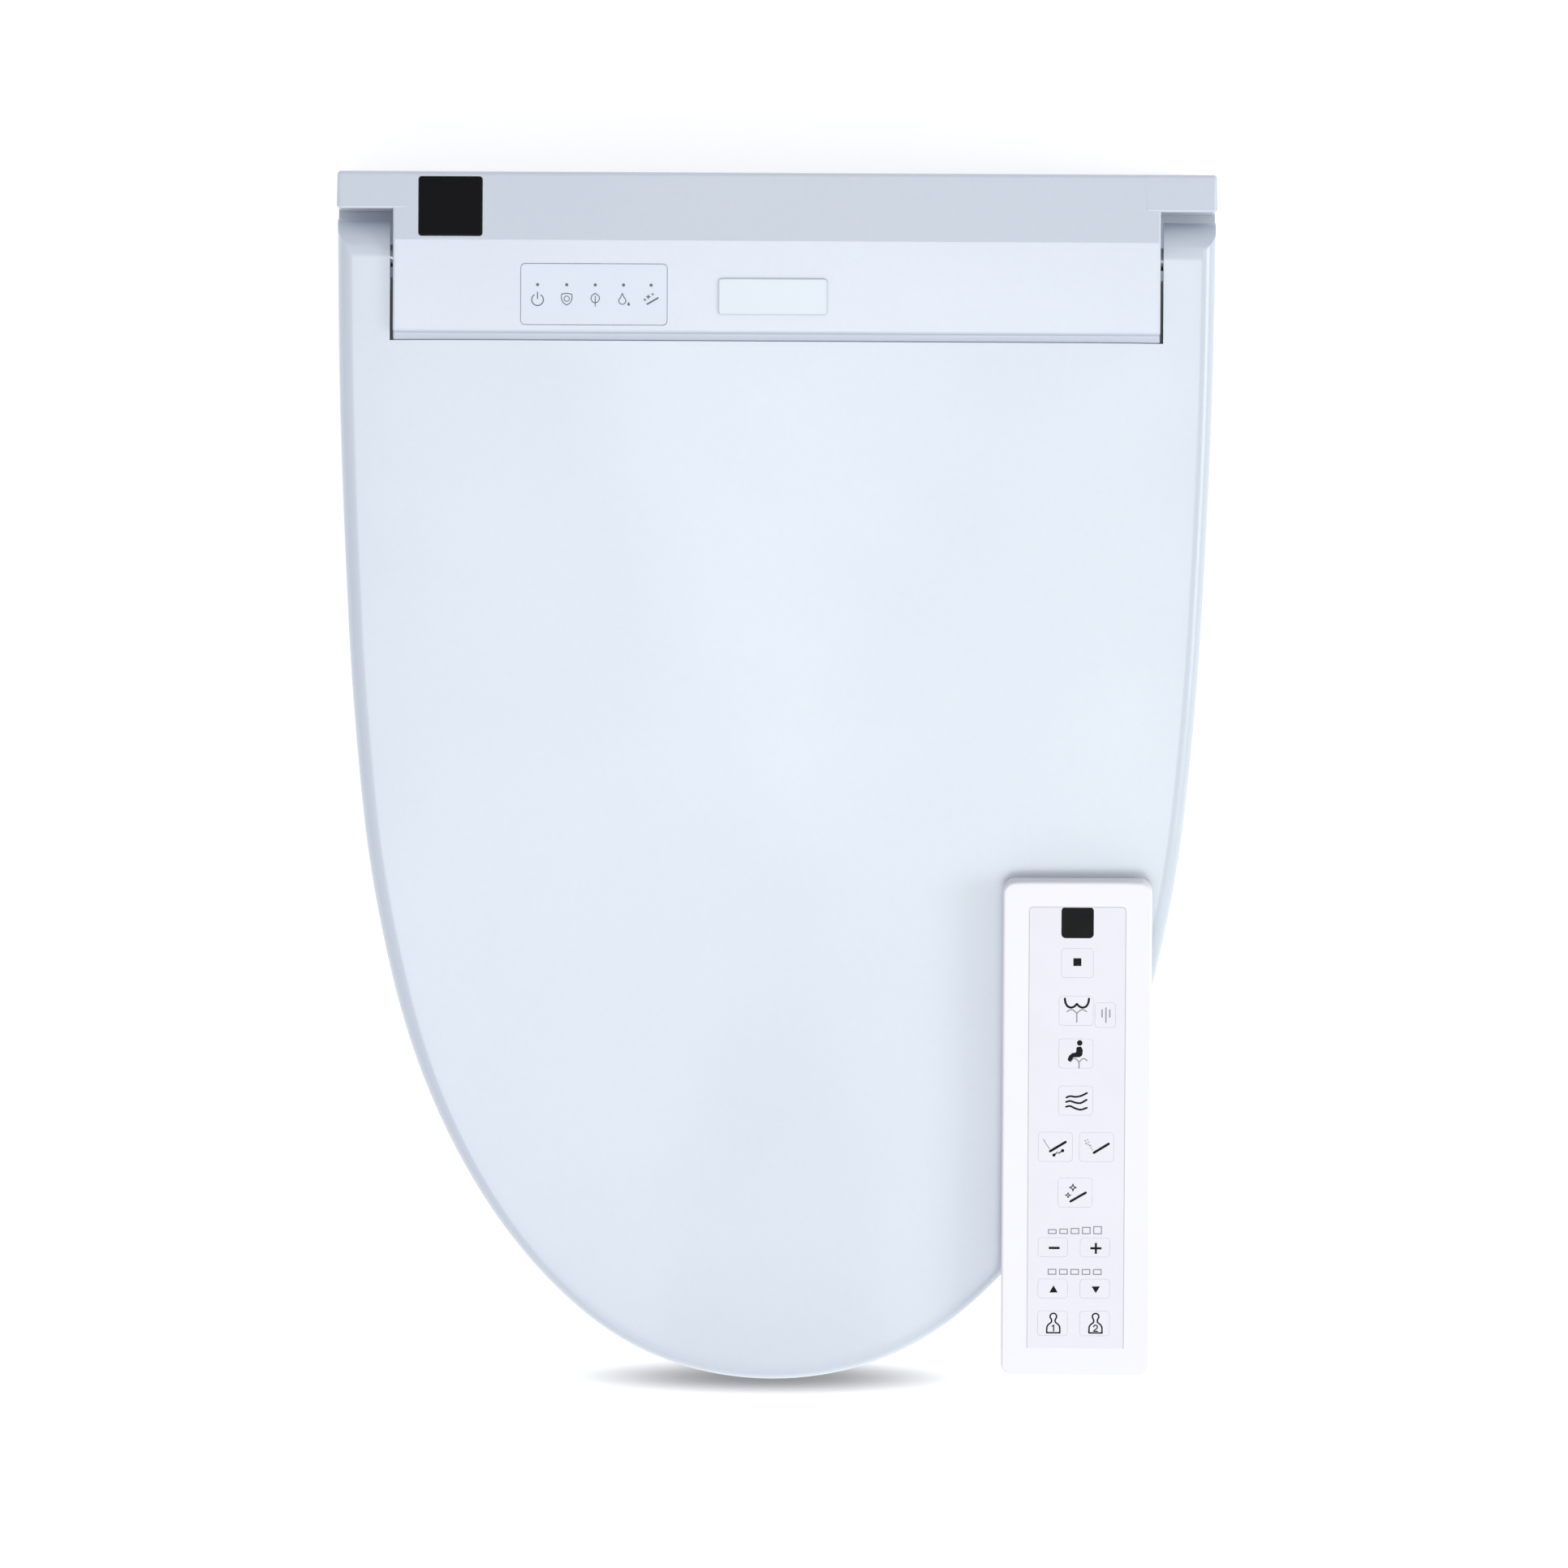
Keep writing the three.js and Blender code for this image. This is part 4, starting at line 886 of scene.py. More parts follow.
def make_cartridge():
    c = pull("cartridge_visual", rounded(18, 54, 12, 50, 2.2, 6), 186.3, 192.8, "X", r=1.0, seg=4, r_lo=0.3)
    fuse(c, pull("drawer", rounded(19, 53, 13, 49, 1.6, 5), 124, 187, "X", r=0, seg=3, r_lo=0.6))
    carve(c, pull("grip", rounded(26, 46, 39.5, 45.5, 2.9, 8), 190.8, 195, "X"))
    for z in (17, 20, 23, 26, 29, 32, 35):
        carve(c, pull("louvre", rounded(23, 49, z - 0.7, z + 0.7, 0.68, 4), 191.9, 195, "X"))
    clean(c)
    smooth(c, 34)
    soften(c, 0.25, 2, 42)
    return place(c, "base", "cartridge", ["deodorizer_cartridge"])


make_cartridge()


def make_release():
    c = pull("release_visual", rounded(26, 44, 42, 52, 1.4, 6), -192.8, -181, "X", r=0, seg=4, r_lo=0.9)
    for y in (31, 33.7, 36.3, 39):
        carve(c, pull("rib", rounded(y - 0.45, y + 0.45, 44, 50, 0.44, 4), -194, -192.3, "X"))
    clean(c)
    smooth(c, 34)
    soften(c, 0.15, 2, 42)
    return place(c, "duct", "release", ["release_button"])


make_release()

for nm, lo, hi in (("left", -188.5, -150.3), ("right", 150.3, 188.5)):
    pin = rod("pin_visual_" + nm, (lo, HY, HZ), (hi, HY, HZ), 5, 56, edge=0.6)
    smooth(pin, 34)
    place(pin, "steel", "unit", ["hinge_pin_" + nm])

# screw heads in the pockets under the seat
for i, (x, y) in enumerate(((-150, -60), (150, -60), (-152, -200), (152, -200), (-138, -320), (138, -320), (-62, -426), (62, -426))):
    head = rod("seat_screw_%d" % (i + 1), (x, y, 10.7), (x, y, 12.2), 3.4, 32, edge=0.3)
    carve(head, box(x - 2.0, x + 2.0, y - 0.4, y + 0.4, 10.2, 11.3), box(x - 0.4, x + 0.4, y - 2.0, y + 2.0, 10.2, 11.3))
    smooth(head, 34)
    place(head, "steel", "seat")


# ------------------------------------------------------------------ remote
K = 1 / math.cos(TILT)
RM = Matrix.Translation((RX * MM, RY * MM, lid_z(RY) * MM)) @ Matrix.Rotation(TILT, 4, "X")


def onto(ob):
    ob.data.transform(RM)
    ob.data.update()
    return ob


KEYS = {
    "stop": (0, 72.9, 14, 13), "rear": (-0.4, 51.9, 15, 13), "soft": (12.4, 50.1, 9, 11), "front": (-0.4, 33.1, 15, 13),
    "dryer": (-0.4, 12.4, 15, 13), "oscillate": (-9.2, -8, 15, 13), "pulse": (8.9, -8, 15, 13), "wand_clean": (-0.4, -28.1, 15, 13),
    "minus": (-10, -52.2, 13, 8.5), "plus": (8.5, -52.2, 13, 8.5), "up": (-10, -70.4, 13, 8.5), "down": (8.5, -70.4, 13, 8.5),
    "user_1": (-10, -85.7, 13, 11), "user_2": (8.5, -85.7, 13, 11),
}
FIELD = (-21.2, 21.2, -96.7 * K, 97.4 * K)


def shape(d, r, n=10):
    return rounded(-RW / 2 + d, RW / 2 - d, -RL / 2 + d, RL / 2 - d, r, n)


def shape_rings(levels, r=5.0):
    return [[(x, y, z) for x, y in shape(d, max(0.6, r - d))] for d, z in levels]


def cap_outline(q, grow, r=1.5):
    x, y, w, h = q
    return rounded(x - w / 2 - grow, x + w / 2 + grow, y * K - h / 2 - grow, y * K + h / 2 + grow, r + grow, 5)


def bow(ob):
    """The far end of the handset is very slightly crowned."""
    for v in ob.data.vertices:
        x, y = v.co.x / MM, v.co.y / MM
        f = min(1.0, max(0.0, (y - RL / 2 + 7) / 5))
        v.co.y -= f * 0.95 * (x / (RW / 2)) ** 2 * MM
    ob.data.update()


def make_remote():
    t = RT
    e = 1.5
    top = [(e * (1 - math.cos(a)) * 0.75, t - e + e * math.sin(a)) for a in quarter(7)]
    front = loft("remote_front_visual", shape_rings([(0.12, 8.12), (0.03, 8.17), (0, 8.3), (0, 12), *top]))
    carve(front, pull("hollow", shape(1.8, 3.4), 3, t - 1.8, "Z"))
    carve(front, pull("ir", rounded(-7.12, 7.12, 83.78 * K, 97.52 * K, 1.9, 6), t - 3, t + 2, "Z"))
    for q in KEYS.values():
        carve(front, pull("well", cap_outline(q, 0.05), t - 3, t + 2, "Z"))
    clean(front, 0.005)
    # the printed field on the top face is a separate tone
    front.data.materials.clear()
    front.data.materials.append(M["remote"])
    front.data.materials.append(M["key"])
    bm = bmesh.new()
    bm.from_mesh(front.data)
    for co, no in (((FIELD[0], 0, 0), (1, 0, 0)), ((FIELD[1], 0, 0), (1, 0, 0)), ((0, FIELD[2], 0), (0, 1, 0)), ((0, FIELD[3], 0), (0, 1, 0))):
        bmesh.ops.bisect_plane(bm, geom=bm.verts[:] + bm.edges[:] + bm.faces[:], plane_co=Vector(co) * MM, plane_no=no, dist=1e-7)
    bm.normal_update()
    for f in bm.faces:
        c = f.calc_center_median() / MM
        inside = FIELD[0] < c.x < FIELD[1] and FIELD[2] < c.y < FIELD[3]
        f.material_index = 1 if inside and f.normal.z > 0.9 and c.z > t - 0.3 else 0
    bm.to_mesh(front.data)
    bm.free()
    bow(front)
    smooth(front, 30)
    onto(front)
    m = front.modifiers.new("weighted", "WEIGHTED_NORMAL")
    m.keep_sharp = True
    m.weight = 60
    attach(front, "remote")
    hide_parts("remote_front_case")
    e = 2.5
    low = [(e * (1 - math.sin(a)), 0.3 + e * (1 - math.cos(a))) for a in quarter(7)]
    back = loft("remote_back_visual", shape_rings([*low, (0, 6), (0, 7.85), (0.03, 7.98), (0.12, 8.03)]))
    carve(back, pull("hollow", shape(1.8, 3.4), 2.1, 13, "Z"))
    carve(back, box(-15.3, 15.3, -RL / 2 - 5, -35, -2, 3.1))
    clean(back, 0.005)
    bow(back)
    smooth(back, 32)
    soften(back, 0.2, 2, 50)
    onto(back)
    place(back, "remote", "remote", ["remote_back_case"])
    ir = pull("remote_window_visual", rounded(-7, 7, 83.9 * K, 97.4 * K, 1.8, 8), t - 1.6, t, "Z", r=0.25, seg=4, r_lo=0)
    smooth(ir, 34)
    onto(ir)
    place(ir, "ir", "remote", ["remote_ir_window"])
    door = pull("battery_door_visual", rounded(-15, 15, -RL / 2 + 2.6, -35.3, 1.2, 5), 0.3, 2.1, "Z", r=0.2, seg=3, r_lo=0.35)
    fuse(door, box(-13, 13, -60, -40, 1.9, 2.8))
    for i in range(5):  # thumb grip
        y = -44 - i * 2.2
        carve(door, pull("g", rounded(-6 + i * 0.5, 6 - i * 0.5, y - 0.5, y + 0.5, 0.48, 5), -1, 0.75, "Z"))
    clean(door)
    smooth(door, 32)
    onto(door)
    place(door, "door", "remote_door", ["battery_door"])
    for nm, q in KEYS.items():
        k = pull("keytop_" + nm, cap_outline(q, 0), t - 2.2, t, "Z", r=0.05, seg=2, r_lo=0)
        smooth(k, 34)
        onto(k)
        place(k, "key", "key_" + nm, ["key_" + nm])


make_remote()


# ------------------------------------------------------------------ printed marks: thin inked shapes on the keys and panels, with grey lines of painted edge shade round the display and the badge
def curve(pts, n=6):
    p = [np.array(q, float) for q in pts]
    p = [2 * p[0] - p[1], *p, 2 * p[-1] - p[-2]]
    out = []
    for i in range(1, len(p) - 2):
        for k in range(n):
            t = k / n
            a, b, c, d = p[i - 1], p[i], p[i + 1], p[i + 2]
            out.append(tuple(0.5 * (2 * b + (c - a) * t + (2 * a - 5 * b + 4 * c - d) * t * t + (3 * b - a - 3 * c + d) * t**3)))
    out.append(tuple(p[-2]))
    return out


def circle(x, y, r, a0=0, a1=360, n=28):
    return [(x + r * math.cos(math.radians(a0 + (a1 - a0) * i / n)), y + r * math.sin(math.radians(a0 + (a1 - a0) * i / n))) for i in range(n + (0 if a1 - a0 == 360 else 1))]


class Ink:
    """Strokes and fills of one printed mark or painted shade line, gathered into one thin mesh."""

    def __init__(self, z0, z1):
        self.z0, self.z1, self.verts, self.faces = z0, z1, [], []

    def fill(self, outline):
        n, b = len(outline), len(self.verts)
        area = sum(outline[i - 1][0] * outline[i][1] - outline[i][0] * outline[i - 1][1] for i in range(n))
        if area < 0:
            outline = outline[::-1]
        self.verts += [(x, y, self.z0) for x, y in outline] + [(x, y, self.z1) for x, y in outline]
        self.faces.append(tuple(b + n + i for i in range(n)))
        self.faces.append(tuple(b + n - 1 - i for i in range(n)))
        self.faces += [(b + i, b + (i + 1) % n, b + n + (i + 1) % n, b + n + i) for i in range(n)]
        return self

    def stroke(self, pts, w, ends=5):
        p = np.array(pts, float)
        t = np.gradient(p, axis=0)
        t /= np.linalg.norm(t, axis=1)[:, None] + 1e-12
        nrm = np.stack([-t[:, 1], t[:, 0]], 1) * w / 2
        right, left = p - nrm, (p + nrm)[::-1]

        def cap(c, a0):
            return [tuple(c + w / 2 * np.array((math.cos(a0 + math.pi * i / ends), math.sin(a0 + math.pi * i / ends)))) for i in range(1, ends)]

        a_end = math.atan2(-nrm[-1][1], -nrm[-1][0])
        a_start = math.atan2(nrm[0][1], nrm[0][0])
        return self.fill([tuple(q) for q in right] + cap(p[-1], a_end) + [tuple(q) for q in left] + cap(p[0], a_start))

    def loop(self, outline, w):
        """Closed line, drawn inwards from the outline."""
        n, b = len(outline), len(self.verts)
        area = sum(outline[i - 1][0] * outline[i][1] - outline[i][0] * outline[i - 1][1] for i in range(n))
        if area < 0:
            outline = outline[::-1]
        inner = offset(outline, w)
        self.verts += [(x, y, self.z0) for x, y in outline] + [(x, y, self.z1) for x, y in outline]
        self.verts += [(x, y, self.z1) for x, y in inner] + [(x, y, self.z0) for x, y in inner]
        for r in range(4):
            s = (r + 1) % 4
            self.faces += [(b + r * n + i, b + r * n + (i + 1) % n, b + s * n + (i + 1) % n, b + s * n + i) for i in range(n)]
        return self

    def make(self, name):
        ob = mesh_object(name, self.verts, self.faces)
        smooth(ob, 20)
        return ob


def spark(x, y, r):
    pts = []
    for i in range(8):
        a = math.radians(45 * i)
        q = r if i % 2 == 0 else r * 0.42
        pts.append((x + q * math.cos(a), y + q * math.sin(a)))
    return pts


def remote_prints():
    z0, z1 = RT - 0.02, RT + 0.035

    def y_(v):
        return v * K

    def Y(pts):
        return [(x, y * K) for x, y in pts]

    def put(ink, name, key, body):
        ob = ink.make(name)
        onto(ob)
        place(ob, key, body)

    def ink():
        return Ink(z0, z1)

    put(ink().fill(Y(rounded(-1.78, 1.74, 71.6, 75.0, 0.15, 2))), "mark_stop", "print", "key_stop")
    # rear wash: two joined bowls over a small fountain
    bowls = [(-5.4, 57.2), (-5.1, 55.4), (-4.2, 53.9), (-2.7, 53.3), (-1.2, 53.8), (-0.1, 54.9)]
    right = [(-0.2 - x, y) for x, y in bowls[::-1]]
    put(ink().stroke(Y(curve(bowls)), 0.95).stroke(Y(curve(right)), 0.95), "mark_rear", "print", "key_rear")

    def fountain(cx, top, foot, half=4.3):
        i = ink()
        i.stroke(Y(curve([(cx - half, top - 1.0), (cx - half * 0.72, top - 0.25), (cx - half * 0.42, top - 0.25), (cx - 0.15, top - 1.5)])), 0.5)
        i.stroke(Y(curve([(cx + half, top - 1.0), (cx + half * 0.72, top - 0.25), (cx + half * 0.42, top - 0.25), (cx + 0.15, top - 1.5)])), 0.5)
        i.stroke(Y([(cx, top - 1.7), (cx, (top + foot) / 2), (cx, foot)]), 0.55)
        return i

    put(fountain(-0.1, 52.5, 47.0), "mark_rear_spray", "print_grey", "key_rear")
    put(
        ink().stroke(Y([(12.69, 53.2), (12.69, 50), (12.69, 46.9)]), 0.55).stroke(Y([(11.0, 52.4), (11.0, 50.8), (11.0, 49.2)]), 0.55).stroke(Y([(14.37, 52.4), (14.37, 50.8), (14.37, 49.2)]), 0.55),
        "mark_soft", "print_grey", "key_soft",
    )
    # front wash: plain seated figure over the same fountain
    body = [(-0.2, 35.9), (1.9, 36.2), (2.6, 34.6), (2.4, 32.3), (1.2, 31.5), (-1.6, 31.4), (-2.5, 29.2), (-4.1, 30.1), (-3.5, 32.0), (-2.0, 33.3), (-0.3, 33.5)]
    put(ink().fill(Y(circle(1.25, 37.75, 1.2))).fill(Y(fillet(body, 0.7, 3))), "mark_front", "print", "key_front")
    put(fountain(1.0, 31.0, 26.7, 3.5), "mark_front_spray", "print_grey", "key_front")
    w = ink()
    for s in (
        [(302, 1029), (314, 1025), (330, 1027), (347, 1024), (366, 1015)],
        [(301, 1043), (314, 1040), (330, 1045), (347, 1046), (365, 1036)],
        [(301, 1058), (314, 1056), (330, 1063), (347, 1067), (366, 1061)],
    ):
        w.stroke(Y(curve([(a / 7.118 - 46.88, 158.9 - b / 7.089) for a, b in s])), 0.82)
    put(w, "mark_dryer", "print", "key_dryer")

    def px(a, b):
        return (a / 7.118 - 46.88, 158.9 - b / 7.089)

    o = ink().stroke(Y([px(252, 1197), px(276, 1182.5), px(300, 1168)]), 1.1)
    o.fill(Y(circle(*px(264, 1209), 0.72, n=16))).fill(Y(circle(*px(291, 1195), 0.72, n=16)))
    o.stroke(Y([px(264, 1209), px(276, 1199), px(278, 1204), px(291, 1195)]), 0.5, 3)
    put(o, "mark_oscillate", "print", "key_oscillate")
    put(ink().stroke(Y([px(231, 1160), px(240, 1175), px(250, 1190)]), 0.32), "mark_oscillate_line", "print_grey", "key_oscillate")
    put(ink().stroke(Y([px(389, 1201), px(412, 1187), px(435, 1173)]), 1.1), "mark_pulse", "print", "key_pulse")
    d = ink()
    for a, b, r in ((384, 1192, 0.3), (380, 1186, 0.3), (376, 1180, 0.32), (371, 1176, 0.32), (379, 1178, 0.28), (366, 1171, 0.3), (373, 1168, 0.28), (362, 1164, 0.34), (369, 1161, 0.3), (363, 1173, 0.26)):
        d.fill(Y(circle(*px(a, b), r, n=10)))
    put(d, "mark_pulse_spray", "print_grey", "key_pulse")
    c = ink().stroke(Y([px(317, 1353), px(341, 1339), px(364, 1326)]), 1.05)
    x, y = px(324, 1310)
    c.loop(Y(spark(x, y, 1.9)), 0.42)
    x, y = px(309, 1334)
    c.loop(Y(spark(x, y, 1.5)), 0.36)
    put(c, "mark_wand_clean", "print", "key_wand_clean")
    put(ink().fill(Y(rounded(-11.85, -7.05, -53.05, -52.0, 0.2, 3))), "mark_minus", "print", "key_minus")
    put(ink().fill(Y([(6.45, -53.1), (8.42, -53.1), (8.42, -55.05), (9.36, -55.05), (9.36, -53.1), (11.35, -53.1), (11.35, -52.12), (9.36, -52.12), (9.36, -50.2), (8.42, -50.2), (8.42, -52.12), (6.45, -52.12)])), "mark_plus", "print", "key_plus")
    put(ink().fill(Y([(-11.45, -72.15), (-7.8, -72.15), (-9.63, -69.0)])), "mark_up", "print", "key_up")
    put(ink().fill(Y([(7.13, -69.4), (8.95, -72.4), (10.75, -69.4)])), "mark_down", "print", "key_down")
    for nm, cx in (("user_1", -9.63), ("user_2", 8.93)):
        right = [(cx, -80.97), (cx + 0.95, -81.25), (cx + 1.65, -82.1), (cx + 1.7, -83.1), (cx + 1.15, -84.3), (cx + 1.25, -85.1), (cx + 2.35, -86.0), (cx + 3.05, -87.1), (cx + 3.2, -88.6), (cx + 3.2, -90.2)]
        half = curve(right, 4)
        out = [(2 * cx - a, b) for a, b in half[::-1]][:-1] + half
        i = ink().loop(Y(fillet(out[::-1], [0.5 if k in (0, len(out) - 1) else 0 for k in range(len(out))], 3)), 0.66)
        if nm == "user_1":
            i.stroke(Y([(cx + 0.15, -86.5), (cx + 0.15, -87.9), (cx + 0.15, -89.2)]), 0.55, 2).stroke(Y([(cx - 0.65, -87.1), (cx - 0.25, -86.85), (cx + 0.1, -86.5)]), 0.42, 2)
        else:
            i.stroke(Y(curve([(cx - 0.85, -87.2), (cx - 0.45, -86.6), (cx + 0.25, -86.5), (cx + 0.8, -87.0), (cx + 0.6, -87.8), (cx - 0.2, -88.5), (cx - 0.85, -89.15)], 5)), 0.52, 2)
            i.stroke(Y([(cx - 0.8, -89.15), (cx, -89.15), (cx + 0.95, -89.15)]), 0.5, 2)
        put(i, "mark_" + nm, "print", "key_" + nm)
    lv = ink()
    for n, top in enumerate((-44.25, -44.0, -43.7, -43.2, -42.85)):
        cx = -10.32 + 4.98 * n
        lv.loop(Y(rounded(cx - 1.9, cx + 1.9, -46.4, top, 0.2, 2)), 0.45)
    put(lv, "mark_level_pressure", "print_grey", "remote")
    lv = ink()
    for n in range(5):
        cx = -10.32 + 4.98 * n
        lv.loop(Y(rounded(cx - 1.9, cx + 1.9, -64.35, -61.75, 0.25, 2)), 0.45)
    put(lv, "mark_level_position", "print_grey", "remote")
    x0, x1, y0, y1 = FIELD
    line = [(x0, y0), (x0, (y0 + y1) / 2), (x0, y1 - 2.0), *[(x0 + 1.6 - 1.6 * math.cos(a), y1 - 1.6 + 1.6 * math.sin(a)) for a in quarter(5)]]
    line += [(-x, y) for x, y in line[::-1]]
    put(ink().stroke(line, 0.36, 3), "mark_field_line", "line", "remote")


remote_prints()


def panel_prints_and_edge_shade():
    def put(ink, name, key):
        ob = ink.make(name)
        for v in ob.data.vertices:
            v.co.z += slope_z(v.co.y / MM) * MM
        place(ob, key, "unit")

    def ink(z=0.08):
        return Ink(z - 0.02, z + 0.035)

    xs = (-104.9, -92.1, -79.6, -67.2, -55.1)
    # thin grey lines of painted shade along the raised edges of the display film and the badge
    edge = ink()
    edge.loop(rounded(-112.25, -48.05, -9.05, 17.65, 1.95, 6), 0.22)
    put(edge, "display_edge_shade_line", "line_cool")
    edge = ink(0.9)
    edge.loop(rounded(-25.3, 22.1, -4.2, 11.3, 1.3, 6), 0.22)
    put(edge, "badge_edge_shade_line", "line_cool")
    dots = ink()
    for x in xs:
        dots.fill(circle(x, 8.4, 0.72, n=18))
    put(dots, "mark_lamps", "print_pale")
    yy = 2.0
    i = ink()
    # power: open ring and bar
    i.stroke(circle(xs[0], yy - 0.2, 2.55, 125, 415, 30), 0.5)
    i.stroke([(xs[0], yy + 3.1), (xs[0], yy + 1.6), (xs[0], yy + 0.3)], 0.5)
    # guard: shield with a ring in it
    sh = [(-2.5, 2.5), (0, 2.9), (2.5, 2.5), (2.55, 0.2), (1.7, -1.6), (0, -2.8), (-1.7, -1.6), (-2.55, 0.2)]
    i.loop(fillet([(xs[1] + a, yy + b) for a, b in sh], 0.6, 3), 0.42)
    i.loop(circle(xs[1], yy + 0.3, 1.35, n=18), 0.36)
    # leaf with its stem
    leaf = curve([(0, 3.0), (1.7, 1.7), (2.0, 0.1), (1.2, -1.2), (0, -1.6), (-1.2, -1.2), (-2.0, 0.1), (-1.7, 1.7), (0, 3.0)], 4)[:-1]
    i.loop([(xs[2] + a, yy + b) for a, b in leaf], 0.42)
    i.stroke([(xs[2], yy + 1.5), (xs[2], yy - 0.6), (xs[2], yy - 2.9)], 0.42)
    # droplets, a large and a small one
    def drop(cx, cy, r):
        return [(cx, cy + 2.1 * r)] + circle(cx, cy, r, 50, -230, 16)

    i.loop(drop(xs[3] - 0.5, yy - 0.5, 1.75), 0.42)
    i.fill(drop(xs[3] + 2.3, yy - 2.1, 0.6))
    # wand with two sparks
    i.stroke([(xs[4] - 1.7, yy - 1.9), (xs[4] + 0.6, yy - 0.6), (xs[4] + 3.0, yy + 0.8)], 0.75)
    i.fill(spark(xs[4] - 1.2, yy + 1.3, 1.2))
    i.fill(spark(xs[4] + 0.7, yy + 2.4, 0.8))
    i.fill(spark(xs[4] - 2.7, yy + 0.0, 0.8))
    put(i, "mark_symbols", "print_pale")


panel_prints_and_edge_shade()


# ------------------------------------------------------------------ inner pieces kept from the CAD, with their own finish
KEPT = {
    "seat_heater": "copper", "nozzle_guide": "duct", "drive_roller": "rubber", "wand_motor": "steel", "water_heater_tank": "copper",
    "inlet_valve": "valve", "water_pump": "grey", "supply_hose": "hose", "control_board": "board", "blower_housing": "grey",
    "fan_impeller": "duct", "dryer_duct": "duct", "lid_damper": "damper", "seat_damper": "damper", "battery_1": "battery",
    "battery_2": "battery", "remote_board": "board",
}
for nm, key in KEPT.items():
    ob = bpy.data.objects.get(nm)
    if ob is None:
        print("no CAD object named", nm)
        continue
    ob.data.materials.clear()
    ob.data.materials.append(M[key])
    m = ob.modifiers.new("edges", "BEVEL")
    m.width = 0.00035
    m.segments = 2
    m.limit_method = "ANGLE"
    m.angle_limit = math.radians(40)
    m.use_clamp_overlap = True


# ------------------------------------------------------------------ floor, light, camera
def tall(name, size, where, aim, power, tone=(1, 1, 1), shape_kind="RECTANGLE", size_y=None):
    d = bpy.data.lights.new(name, "AREA")
    d.shape = shape_kind
    d.size = size
    d.size_y = size_y or size
    d.energy = power
    d.color = tone
    o = bpy.data.objects.new(name, d)
    o.location = where
    o.rotation_euler = (Vector(aim) - Vector(where)).to_track_quat("-Z", "Y").to_euler()
    o.visible_camera = False
    bpy.context.scene.collection.objects.link(o)
    return o


ground = mesh_object("ground", [(-6000, -6000, 0), (6000, -6000, 0), (6000, 6000, 0), (-6000, 6000, 0)], [(0, 1, 2, 3)])
gm, gnt, gb = _new("ground_white")
gtc = gnt.nodes.new("ShaderNodeTexCoord")
gn = _node(gnt, "ShaderNodeTexNoise", Scale=3.0, Detail=2.0)
gnt.links.new(gtc.outputs["Object"], gn.inputs["Vector"])
gr = gnt.nodes.new("ShaderNodeValToRGB")
gr.color_ramp.elements[0].color = (0.88, 0.88, 0.885, 1)
gr.color_ramp.elements[1].color = (0.9, 0.9, 0.905, 1)
gnt.links.new(gn.outputs["Fac"], gr.inputs["Fac"])
# soft pool of shade on the floor below the tip
gmap = gnt.nodes.new("ShaderNodeMapping")
gmap.vector_type = "TEXTURE"
gmap.inputs["Location"].default_value = (-0.0016, -0.4722, 0)
gmap.inputs["Scale"].default_value = (0.138, 0.0125, 1.0)
gnt.links.new(gtc.outputs["Object"], gmap.inputs["Vector"])
gl = gnt.nodes.new("ShaderNodeVectorMath")
gl.operation = "LENGTH"
gnt.links.new(gmap.outputs["Vector"], gl.inputs[0])
gs = gnt.nodes.new("ShaderNodeMapRange")
gs.interpolation_type = "SMOOTHERSTEP"
gs.inputs["From Min"].default_value = 0.0
gs.inputs["From Max"].default_value = 1.0
gs.inputs["To Min"].default_value = 0.24
gs.inputs["To Max"].default_value = 1.0
gmap2 = gnt.nodes.new("ShaderNodeMapping")  # and a wider pool of painted shade out of sight under the front of the seat
gmap2.vector_type = "TEXTURE"
gmap2.inputs["Location"].default_value = (0.0, -0.412, 0)
gmap2.inputs["Scale"].default_value = (0.105, 0.066, 1.0)
gnt.links.new(gtc.outputs["Object"], gmap2.inputs["Vector"])
gl2 = gnt.nodes.new("ShaderNodeVectorMath")
gl2.operation = "LENGTH"
gnt.links.new(gmap2.outputs["Vector"], gl2.inputs[0])
gmin = gnt.nodes.new("ShaderNodeMath")
gmin.operation = "SMOOTH_MIN"
gmin.inputs[2].default_value = 0.12
gnt.links.new(gl.outputs["Value"], gmin.inputs[0])
gnt.links.new(gl2.outputs["Value"], gmin.inputs[1])
gnt.links.new(gmin.outputs[0], gs.inputs["Value"])
gmap3 = gnt.nodes.new("ShaderNodeMapping")  # and painted shade darkening the floor right under the unit
gmap3.vector_type = "TEXTURE"
gmap3.inputs["Location"].default_value = (0.0, -0.005, 0)
gmap3.inputs["Scale"].default_value = (0.19, 0.055, 1.0)
gnt.links.new(gtc.outputs["Object"], gmap3.inputs["Vector"])
last = gmap3.outputs["Vector"]
for _ in range(2):
    gsq = gnt.nodes.new("ShaderNodeVectorMath")
    gsq.operation = "MULTIPLY"
    gnt.links.new(last, gsq.inputs[0])
    gnt.links.new(last, gsq.inputs[1])
    last = gsq.outputs["Vector"]
gl3 = gnt.nodes.new("ShaderNodeVectorMath")
gl3.operation = "LENGTH"
gnt.links.new(last, gl3.inputs[0])
gs3 = gnt.nodes.new("ShaderNodeMapRange")
gs3.interpolation_type = "SMOOTHERSTEP"
gs3.inputs["From Min"].default_value = 0.6
gs3.inputs["From Max"].default_value = 1.0
gs3.inputs["To Min"].default_value = 0.08
gs3.inputs["To Max"].default_value = 1.0
gnt.links.new(gl3.outputs["Value"], gs3.inputs["Value"])
gboth = gnt.nodes.new("ShaderNodeMath")
gboth.operation = "MULTIPLY"
gnt.links.new(gs.outputs["Result"], gboth.inputs[0])
gnt.links.new(gs3.outputs["Result"], gboth.inputs[1])
gx = gnt.nodes.new("ShaderNodeMix")
gx.data_type = "RGBA"
gx.blend_type = "MULTIPLY"
gx.inputs[0].default_value = 1.0
